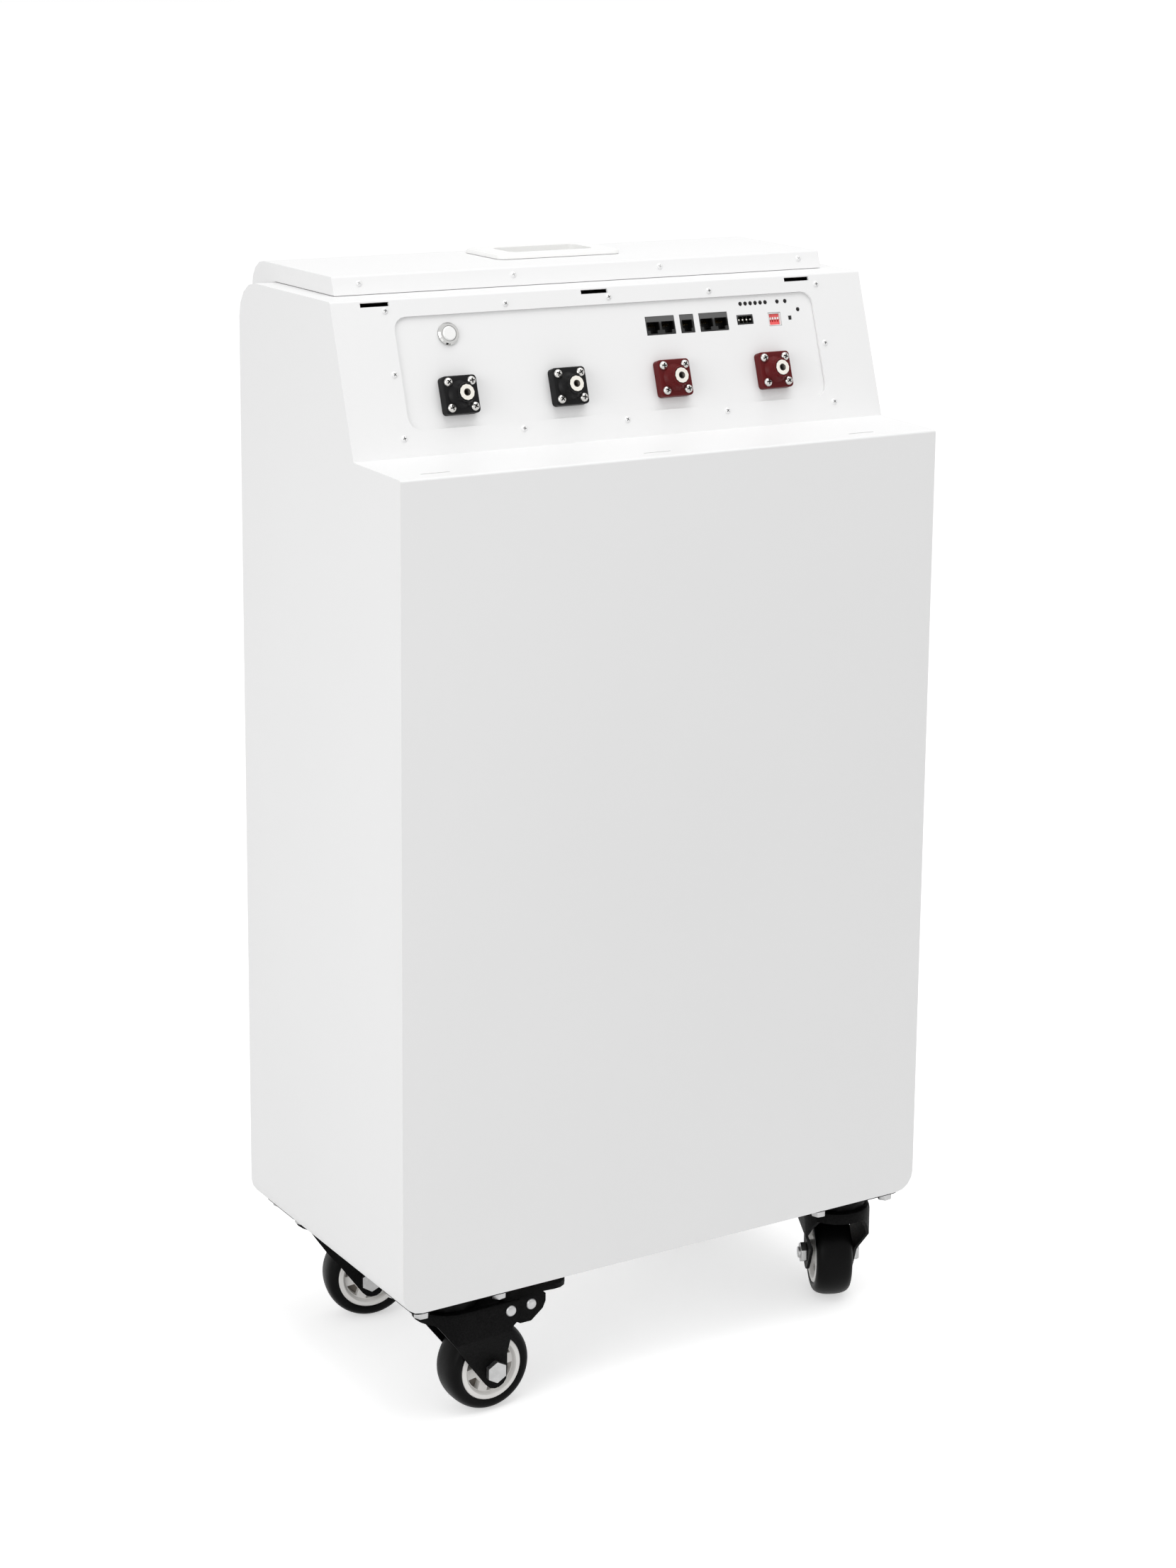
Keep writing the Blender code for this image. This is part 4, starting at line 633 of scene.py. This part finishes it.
def terminal_moulding():
    """Flange, flared boss and rear spigot in one, bored for the stud."""
    flange = rounded_block(FLANGE_SIDE, FLANGE_CORNER, FLANGE_FOOT, FLANGE_FACE, FLANGE_EDGE)
    height = BOSS_TIP - FLANGE_FACE
    profile = [(0.0, SPIGOT_END), (SPIGOT_RADIUS, SPIGOT_END), (SPIGOT_RADIUS, FLANGE_FOOT + FLANGE_EDGE)]
    profile.append((BOSS_BASE_RADIUS, FLANGE_FACE - FLANGE_EDGE / 4))
    for step in range(1, FLARE_STEPS):
        share = step / FLARE_STEPS
        flare = (BOSS_BASE_RADIUS - BOSS_TIP_RADIUS) * (1 - share) ** FLARE_POWER
        profile.append((BOSS_TIP_RADIUS + flare, FLANGE_FACE + height * share))
    for step in range(BOSS_EDGE_STEPS + 1):
        angle = math.pi / 2 * step / BOSS_EDGE_STEPS
        edge = BOSS_EDGE * (1 - math.cos(angle))
        profile.append((BOSS_TIP_RADIUS - edge, BOSS_TIP - BOSS_EDGE + BOSS_EDGE * math.sin(angle)))
    profile.append((0.0, BOSS_TIP))
    whole = combined(flange, lathe(profile, BORE_STEPS), "UNION")
    spare = 2 * FLANGE_EDGE
    bore = [(0.0, SPIGOT_END - spare), (STUD_BORE_RADIUS, SPIGOT_END - spare)]
    bore += [(STUD_BORE_RADIUS, BOSS_TIP + spare), (0.0, BOSS_TIP + spare)]
    return shaded(combined(whole, lathe(bore, BORE_STEPS), "DIFFERENCE"))


def terminal_thread():
    """The ridges of the threaded hole in a stud."""
    crest = THREAD_RADIUS - THREAD_DEPTH
    top = STUD_FACE - FINE_EDGE
    inner = []
    for turn in range(THREAD_TURNS):
        z = top - turn * THREAD_PITCH
        inner += [(crest, z), (THREAD_RADIUS - THREAD_DEPTH / 8, z - THREAD_PITCH / 2)]
    bottom = top - THREAD_TURNS * THREAD_PITCH
    outer = [(THREAD_RADIUS, bottom), (THREAD_RADIUS, top)]
    return shaded(lathe(inner + outer, HEAD_STEPS, closed=True), THREAD_SHARP_ANGLE)


def dome(shape, radius, rise):
    """A domed head from a shape given in shares of its radius and rise, closed by a flat foot."""
    return lathe([(radius * r, rise * z) for r, z in shape + ((0.0, 0.0),)], HEAD_STEPS)


def screw_head(radius, rise, arm, finish, recess):
    """A domed head with a cross recess, whose recess faces take the second material given, used for painted shade.
    """
    head = dome(SCREW_DOME, radius, rise)
    floor = RECESS_FLOOR * rise
    middle = (0, 0, (floor + 2 * rise) / 2)
    size = (RECESS_LENGTH * radius, arm * radius, 2 * rise - floor)
    turns = (Matrix(), Matrix.Rotation(math.pi / 2, 4, "Z"))
    bar, crossbar = [blocks([(middle, size, turn)]) for turn in turns]
    mesh = combined(combined(head, bar, "DIFFERENCE"), crossbar, "DIFFERENCE")
    mesh.materials.append(finish)
    mesh.materials.append(recess)
    shaded(mesh)
    # Painted shade: the walls and floor of the cross recess take the second material
    for face in mesh.polygons:
        inner = face.center.xy.length < RECESS_REACH * radius
        upright = abs(face.normal.z) < 0.2
        bottom = face.normal.z > 0.9 and face.center.z < 1.2 * floor
        face.material_index = 1 if inner and (upright or bottom) else 0
    return mesh


def add_terminals(finishes):
    """Finer mouldings in place of the terminals' housings, with their threads and screws."""
    moulding = terminal_moulding()
    thread = terminal_thread()
    steel = finishes["screw_steel"]
    head = screw_head(TERMINAL_SCREW_RADIUS, TERMINAL_SCREW_RISE, SCREW_ARM, steel, finishes["recess"])
    half = TERMINAL_SCREW_SPACING / 2
    for number, (name, x) in enumerate(zip(TERMINAL_NAMES, TERMINAL_X)):
        colour = "black_resin" if name.startswith("negative") else "red_resin"
        centre = [on_panel(x, TERMINAL_V)]
        resin = finishes[colour]
        body = placed(f"terminal_{name}_moulding", moulding.copy(), centre, resin, "cabinet")
        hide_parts(f"terminal_{name}_housing")
        # The thread's dark finish is painted shade inside the hole
        placed(f"terminal_{name}_thread", thread, centre, finishes["thread_painted_shade"], "cabinet")
        places = []
        for index, (side, rise) in enumerate(((-1, -1), (1, -1), (1, 1), (-1, 1))):
            degrees = FIRST_SCREW_TURN + NEXT_SCREW_TURN * index + NEXT_TERMINAL_TURN * number
            turn = Matrix.Rotation(math.radians(degrees), 4, "Z")
            places.append(on_panel(x + side * half, TERMINAL_V + rise * half, FLANGE_FACE) @ turn)
        placed(f"terminal_{name}_screws", head, places, steel, "cabinet")


def add_sheet_screws(finishes):
    """Painted screws of the panel, and of the cover's front lip."""
    white = finishes["white_powder_coat"]
    # The panel screws' recesses are painted grey as shade; the cover screws' recesses keep the white paint
    head = screw_head(PANEL_SCREW_RADIUS, PANEL_SCREW_RISE, PAINTED_SCREW_ARM, white, finishes["grey_recess"])
    spots = [(x, v) for v in PANEL_SCREW_V for x in PANEL_SCREW_COLUMNS]
    spots += [(x, PANEL_SIDE_SCREW_V) for x in (PANEL_SCREW_COLUMNS[0], PANEL_SCREW_COLUMNS[-1])]
    places = [on_panel(x, v) @ Matrix.Rotation(PANEL_SCREW_TWIST * (x + v), 4, "Z") for x, v in spots]
    placed("panel_screws", head, places, white, "cabinet")
    pale = screw_head(PANEL_SCREW_RADIUS, PANEL_SCREW_RISE, PAINTED_SCREW_ARM, white, white)
    lean = Matrix.Rotation(math.atan2(COVER_HEIGHT, COVER_FRONT_RUN), 4, "X")
    share = COVER_SCREW_RISE / COVER_HEIGHT
    places = []
    for x in COVER_SCREW_X:
        point = Vector((x, COVER_FRONT_Y + COVER_FRONT_RUN * share, DECK_Z + COVER_SCREW_RISE))
        places.append(Matrix.Translation(point) @ lean @ Matrix.Rotation(COVER_SCREW_TWIST * x, 4, "Z"))
    placed("cover_screws", pale, places, white, "cabinet")


def add_jack_contacts(finishes):
    """The slanted spring wires in the roof of each socket."""
    gold = finishes["gold_contact"]
    rear = PANEL_FACE - JACK_MOUTH_DEPTH + WIRE_BACK_GAP
    front = PANEL_FACE - WIRE_FRONT_DEPTH
    run = front - rear
    lean = Matrix.Rotation(math.atan2(WIRE_DROP, run), 4, "X")
    length = math.hypot(WIRE_DROP, run) * WIRE_SHARE
    height = JACK_MOUTH_HIGH - WIRE_ROOF_GAP - WIRE_DROP / 2
    for name, mouths in JACK_MOUTHS.items():
        count = RJ11_WIRES if name == "rj11" else RJ45_WIRES
        wires = []
        for middle in mouths:
            for index in range(count):
                x = middle + WIRE_PITCH * (index - (count - 1) / 2)
                centre = Vector((x, height, (front + rear) / 2))
                wires.append((centre, (WIRE_WIDTH, WIRE_WIDTH / 2, length), lean))
        placed(f"{name}_contacts", blocks(wires), [panel_matrix()], gold, "cabinet")


def add_header_parts(finishes):
    """Plated pins and the ribs between them in the contact header."""
    pins = []
    ribs = []
    still = Matrix()
    for index in range(PIN_COUNT):
        x = HEADER_X + PIN_PITCH * (index - (PIN_COUNT - 1) / 2)
        pins.append(((x, JACK_V, HEADER_FLOOR + PIN_LENGTH / 2), (PIN_SIDE, PIN_SIDE, PIN_LENGTH), still))
        if index > 0:
            centre = (x - PIN_PITCH / 2, JACK_V, HEADER_FLOOR + RIB_LENGTH / 2)
            ribs.append((centre, (RIB_WIDTH, HEADER_ROOM, RIB_LENGTH), still))
    plated = finishes["nickel_plate"]
    placed("header_pins", blocks(pins), [panel_matrix()], plated, "cabinet")
    olive = finishes["header_olive"]
    placed("header_ribs", blocks(ribs), [panel_matrix()], olive, "cabinet")


def add_dip_bezel(finishes):
    """A thin moulded frame that fills the gap between the switch and its window."""
    middle = (DIP_X, DIP_V, PANEL_FACE - (DIP_BEZEL_BACK + DIP_BEZEL_FRONT) / 2)
    depth = DIP_BEZEL_BACK - DIP_BEZEL_FRONT
    grow = 2 * DIP_GAP
    still = Matrix()
    whole = blocks([(middle, (DIP_WIDTH + grow, DIP_HEIGHT + grow, depth), still)])
    inside = blocks([(middle, (DIP_WIDTH + FINE_EDGE, DIP_HEIGHT + FINE_EDGE, 2 * depth), still)])
    bezel = combined(whole, inside, "DIFFERENCE")
    placed("dip_bezel", bezel, [panel_matrix()], finishes["white_plastic"], "cabinet")


def add_light_lenses(finishes):
    """A small dome on the end of each light guide."""
    profile = [(0.0, 0.0)]
    for step in range(LED_DOME_STEPS + 1):
        angle = math.pi / 2 * step / LED_DOME_STEPS
        profile.append((LED_RADIUS * math.cos(angle), LED_RISE * math.sin(angle)))
    lens = shaded(lathe(profile, LENS_STEPS))
    spots = [(LED_ROW_FIRST + LED_ROW_PITCH * index, LED_V) for index in range(LED_ROW_COUNT)]
    spots += [(x, LED_V) for x in LED_PAIR_X] + [LED_SINGLE]
    places = [on_panel(x, v, LED_PEG_END) for x, v in spots]
    placed("light_lenses", lens, places, finishes["dark_lens"], "cabinet")


def joint_named(name):
    return next(joint for joint in frame["joints"] if joint["name"] == name)


def wheel_place(corner):
    """From a wheel turned round Z, with X where the caster trails, to its place."""
    joint = joint_named(f"{corner}_wheel_roll")
    axis = Vector(joint["axis"]).normalized()
    behind = axis.cross(Vector((0, 0, 1)))
    turn = Matrix((behind, axis.cross(behind), axis)).transposed().to_4x4()
    return Matrix.Translation(Vector(joint["pos_m"])) @ turn


def mirrored(half):
    """A profile and its mirror image below the middle plane."""
    return half + [(radius, -z) for radius, z in reversed(half)]


def tyre_mesh():
    """Tread ring whose crown and shoulders run into each other in one smooth curve."""
    side = WHEEL_RADIUS - TYRE_DROP
    half = [(TYRE_INNER, HUB_HALF_RIM - RUBBER_EDGE), (TYRE_INNER + RUBBER_EDGE, HUB_HALF_RIM)]
    for step in range(TYRE_STEPS + 1):
        angle = math.pi / 2 * step / TYRE_STEPS
        rise = math.sin(angle) ** (2 / TYRE_FULLNESS)
        reach = math.cos(angle) ** (2 / TYRE_FULLNESS) if step < TYRE_STEPS else 0.0
        half.append((side + TYRE_DROP * rise, TYRE_HALF * reach))
    lower = [(radius, -z) for radius, z in reversed(half[:-1])]
    return shaded(lathe(half + lower, WHEEL_STEPS, closed=True))


def pocket_outline():
    """The gap between two spokes: a sector with sides parallel to the spokes."""
    outer = HUB_RADIUS - 1.25 * HUB_RIM - POCKET_EDGE
    inner = HUB_BOSS_RADIUS + HUB_RIM / 3 + SPOKE_WIDTH / 4
    points = []
    for radius, direction in ((inner, -1), (outer, 1)):
        reach = math.pi / POCKET_COUNT - math.asin(SPOKE_WIDTH / 2 / radius)
        for step in range(-POCKET_STEPS, POCKET_STEPS + 1):
            angle = direction * reach * step / POCKET_STEPS
            points.append((radius * math.cos(angle), radius * math.sin(angle)))
    return points


def hub_pockets():
    """The blocks that cut the pockets into both sides of the web."""
    work = bmesh.new()
    outline = pocket_outline()
    for side in (-1, 1):
        levels = [side * (HUB_HALF_WEB - POCKET_SINK), side * (HUB_HALF_WEB + POCKET_SINK)]
        pocket = stacked([[(x, y, z) for x, y in outline] for z in levels])
        for number in range(POCKET_COUNT):
            turn = Matrix.Rotation(HUB_TURN + 2 * math.pi * number / POCKET_COUNT, 4, "Z")
            add_copy(work, pocket, turn)
    return to_mesh(work, "pockets")


def hub_mesh(finishes):
    """Moulded hub: rounded bright rim, dished web with pockets between spokes, and boss; the pocket floors are
    painted dark as shade.
    """
    inner = HUB_RADIUS - HUB_RIM
    lip = HUB_RIM / 6
    half = [
        (HUB_RADIUS, HUB_HALF_RIM - lip),
        (HUB_RADIUS - lip, HUB_HALF_RIM),
        (inner + lip, HUB_HALF_RIM),
        (inner, HUB_HALF_RIM - lip),
        (inner - HUB_RIM / 6, HUB_HALF_WEB + lip),
        (inner - HUB_RIM / 4, HUB_HALF_WEB),
        (HUB_BOSS_RADIUS + HUB_RIM / 3, HUB_HALF_WEB),
        (HUB_BOSS_RADIUS + lip / 2, HUB_HALF_WEB + lip),
        (HUB_BOSS_RADIUS, HUB_HALF_BOSS - lip),
        (HUB_BOSS_RADIUS - lip, HUB_HALF_BOSS),
        (HUB_BORE, HUB_HALF_BOSS),
    ]
    wheel = lathe(mirrored(half), WHEEL_STEPS, closed=True)
    mesh = shaded(combined(wheel, hub_pockets(), "DIFFERENCE"))
    mesh.materials.append(finishes["hub_plastic"])
    mesh.materials.append(finishes["hub_pocket"])
    # Painted shade: the pocket floors take the dark second material
    floor = HUB_HALF_WEB - POCKET_SINK
    for face in mesh.polygons:
        face.material_index = 1 if abs(abs(face.center.z) - floor) < FINE_EDGE else 0
    return mesh


def add_wheels(finishes):
    """Smoother tyres and hubs in place of the solids."""
    tyre = tyre_mesh()
    hub = hub_mesh(finishes)
    for corner in CASTER_CORNERS:
        place = [wheel_place(corner)]
        body = f"{corner}_wheel"
        tread = placed(f"{corner}_tread", tyre, place, finishes["tyre_rubber"], body)
        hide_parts(f"{corner}_tyre")
        centre = placed(f"{corner}_hub_moulding", hub, place, finishes["hub_plastic"], body)
        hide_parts(f"{corner}_hub")


def nut_mesh():
    """A hex nut with rounded corners, and the threaded end of its stud."""
    corner = NUT_ACROSS / 2 / math.cos(math.radians(30))
    work = bmesh.new()
    bmesh.ops.create_cone(work, cap_ends=True, segments=6, radius1=corner, radius2=corner, depth=NUT_HEIGHT)
    bmesh.ops.translate(work, verts=work.verts, vec=(0, 0, -NUT_HEIGHT / 2))
    bmesh.ops.bevel(work, geom=work.edges[:], offset=NUT_EDGE, segments=3, profile=0.5, affect="EDGES")
    nut = to_mesh(work, "nut")
    low = -NUT_HEIGHT - STUD_TIP
    root = STUD_RADIUS - STUD_THREAD_DEPTH
    profile = [(0.0, low), (STUD_RADIUS - STUD_CHAMFER, low)]
    for turn in range(STUD_THREAD_TURNS):
        z = low + STUD_THREAD_START + turn * STUD_THREAD_PITCH
        profile += [(STUD_RADIUS, z), (root, z + STUD_THREAD_PITCH / 2)]
    profile += [(root, -NUT_HEIGHT / 2), (0.0, -NUT_HEIGHT / 2)]
    return shaded(combined(nut, lathe(profile, STUD_STEPS), "UNION"))


def add_plate_nuts(finishes):
    """The four nuts under each caster's top plate."""
    nut = nut_mesh()
    for corner in CASTER_CORNERS:
        low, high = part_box(f"{corner}_caster_plate")
        middle = (low + high) / 2
        under = high.z - PLATE_UNDER
        places = []
        for side in (-0.5, 0.5):
            for end in (-0.5, 0.5):
                spot = (middle.x + side * NUT_SPACING_X, middle.y + end * NUT_SPACING_Y, under)
                turn = Matrix.Rotation(NUT_SIDE_TWIST * side + NUT_END_TWIST * end, 4, "Z")
                places.append(Matrix.Translation(spot) @ turn)
        placed(f"{corner}_plate_nuts", nut, places, finishes["zinc_plate"], "cabinet")


def add_rivet_caps(finishes):
    """Bright domed heads on the pin of each brake and on the stud of its pedal."""
    cap = shaded(dome(RIVET_DOME, RIVET_RADIUS, RIVET_RISE))
    for corner in BRAKED_CORNERS:
        joint = joint_named(f"{corner}_brake_tip")
        pin = Vector(joint["pos_m"])
        axis = Vector(joint["axis"]).normalized()
        stud = pin + axis.cross(Vector((0, 0, 1))) * PEDAL_STUD_BEHIND
        for name, body, point, half in (
            ("pivot_caps", f"{corner}_swivel", pin, PIVOT_HALF),
            ("stud_caps", f"{corner}_brake", stud, PEDAL_HALF),
        ):
            places = []
            for side in (-1, 1):
                facing = (axis * side).to_track_quat("Z", "X").to_matrix().to_4x4()
                places.append(Matrix.Translation(point + axis * side * half) @ facing)
            placed(f"{corner}_{name}", cap, places, finishes["zinc_plate"], body)


def seen_directly(tree):
    """1 for what the camera, a mirror or a clear part shows, and 0 for the light that falls on things."""
    path = tree.nodes.new("ShaderNodeLightPath")
    seen = path.outputs["Is Camera Ray"]
    for name in ("Is Glossy Ray", "Is Transmission Ray"):
        either = tree.nodes.new("ShaderNodeMath")
        either.operation = "MAXIMUM"
        tree.links.new(seen, either.inputs[0])
        tree.links.new(path.outputs[name], either.inputs[1])
        seen = either.outputs["Value"]
    return seen


def add_stage():
    """A pale floor that looks white under the lamps and keeps the cabinet's shadow."""
    work = bmesh.new()
    bmesh.ops.create_grid(work, x_segments=1, y_segments=1, size=FLOOR_HALF)
    floor = bpy.data.objects.new("floor", to_mesh(work, "floor"))
    bpy.context.scene.collection.objects.link(floor)
    floor.location.z = FLOOR_Z
    made, tree, shader = new_material("floor", FLOOR_COLOUR, 0.9, specular=0.1)
    set_input(shader, "Emission Color", (1.0, 1.0, 1.0, 1.0))
    glow = spread(tree, seen_directly(tree), 0.0, 1.0, 0.0, FLOOR_GLOW)
    tree.links.new(glow, shader.inputs["Emission Strength"])
    floor.data.materials.append(made)


def add_world():
    """An even white room, brighter to look at than the light that it gives."""
    world = bpy.data.worlds.new("studio")
    bpy.context.scene.world = world
    world.use_nodes = True
    tree = world.node_tree
    background = tree.nodes["Background"]
    set_input(background, "Color", (1.0, 1.0, 1.0, 1.0))
    strength = spread(tree, seen_directly(tree), 0.0, 1.0, WORLD_LIGHT, 1.0)
    tree.links.new(strength, background.inputs["Strength"])


def add_lamp(name, location, target, size, watts):
    lamp = bpy.data.lights.new(name, "AREA")
    lamp.shape = "RECTANGLE"
    lamp.size, lamp.size_y = size
    lamp.energy = watts
    obj = bpy.data.objects.new(name, lamp)
    bpy.context.scene.collection.objects.link(obj)
    obj.location = location
    aim = Vector(target) - Vector(location)
    obj.rotation_euler = aim.to_track_quat("-Z", "Y").to_euler()


def add_lights():
    for lamp in LAMPS:
        add_lamp(*lamp)


def add_camera():
    """The fitted camera, with the photograph's frame shifted to its principal point."""
    data = bpy.data.cameras.new("camera")
    camera = bpy.data.objects.new("camera", data)
    bpy.context.scene.collection.objects.link(camera)
    level = math.cos(CAMERA_ELEVATION)
    sideways = math.sin(CAMERA_AZIMUTH) * level
    forward = -math.cos(CAMERA_AZIMUTH) * level
    away = Vector((sideways, forward, math.sin(CAMERA_ELEVATION)))
    right = Vector((0, 0, 1)).cross(away).normalized()
    up = away.cross(right)
    right = right * math.cos(CAMERA_ROLL) + up * math.sin(CAMERA_ROLL)
    up = away.cross(right)
    turn = Matrix((right, up, away)).transposed().to_4x4()
    camera.matrix_world = Matrix.Translation(CAMERA_TARGET + away * CAMERA_DISTANCE) @ turn
    data.sensor_fit = "VERTICAL"
    data.sensor_height = SENSOR
    data.lens = FOCAL_PIXELS * SENSOR / PHOTO_HEIGHT
    data.shift_x = (PHOTO_WIDTH / 2 - PRINCIPAL_X) / PHOTO_HEIGHT
    data.shift_y = (PRINCIPAL_Y - PHOTO_HEIGHT / 2) / PHOTO_HEIGHT
    bpy.context.scene.camera = camera


finishes = make_finishes()
dress_nodes(finishes, smooth_group())
add_terminals(finishes)
add_sheet_screws(finishes)
add_jack_contacts(finishes)
add_header_parts(finishes)
add_dip_bezel(finishes)
add_light_lenses(finishes)
add_wheels(finishes)
add_plate_nuts(finishes)
add_rivet_caps(finishes)
add_stage()
add_world()
add_lights()
add_camera()
bpy.context.scene.view_settings.view_transform = "Standard"
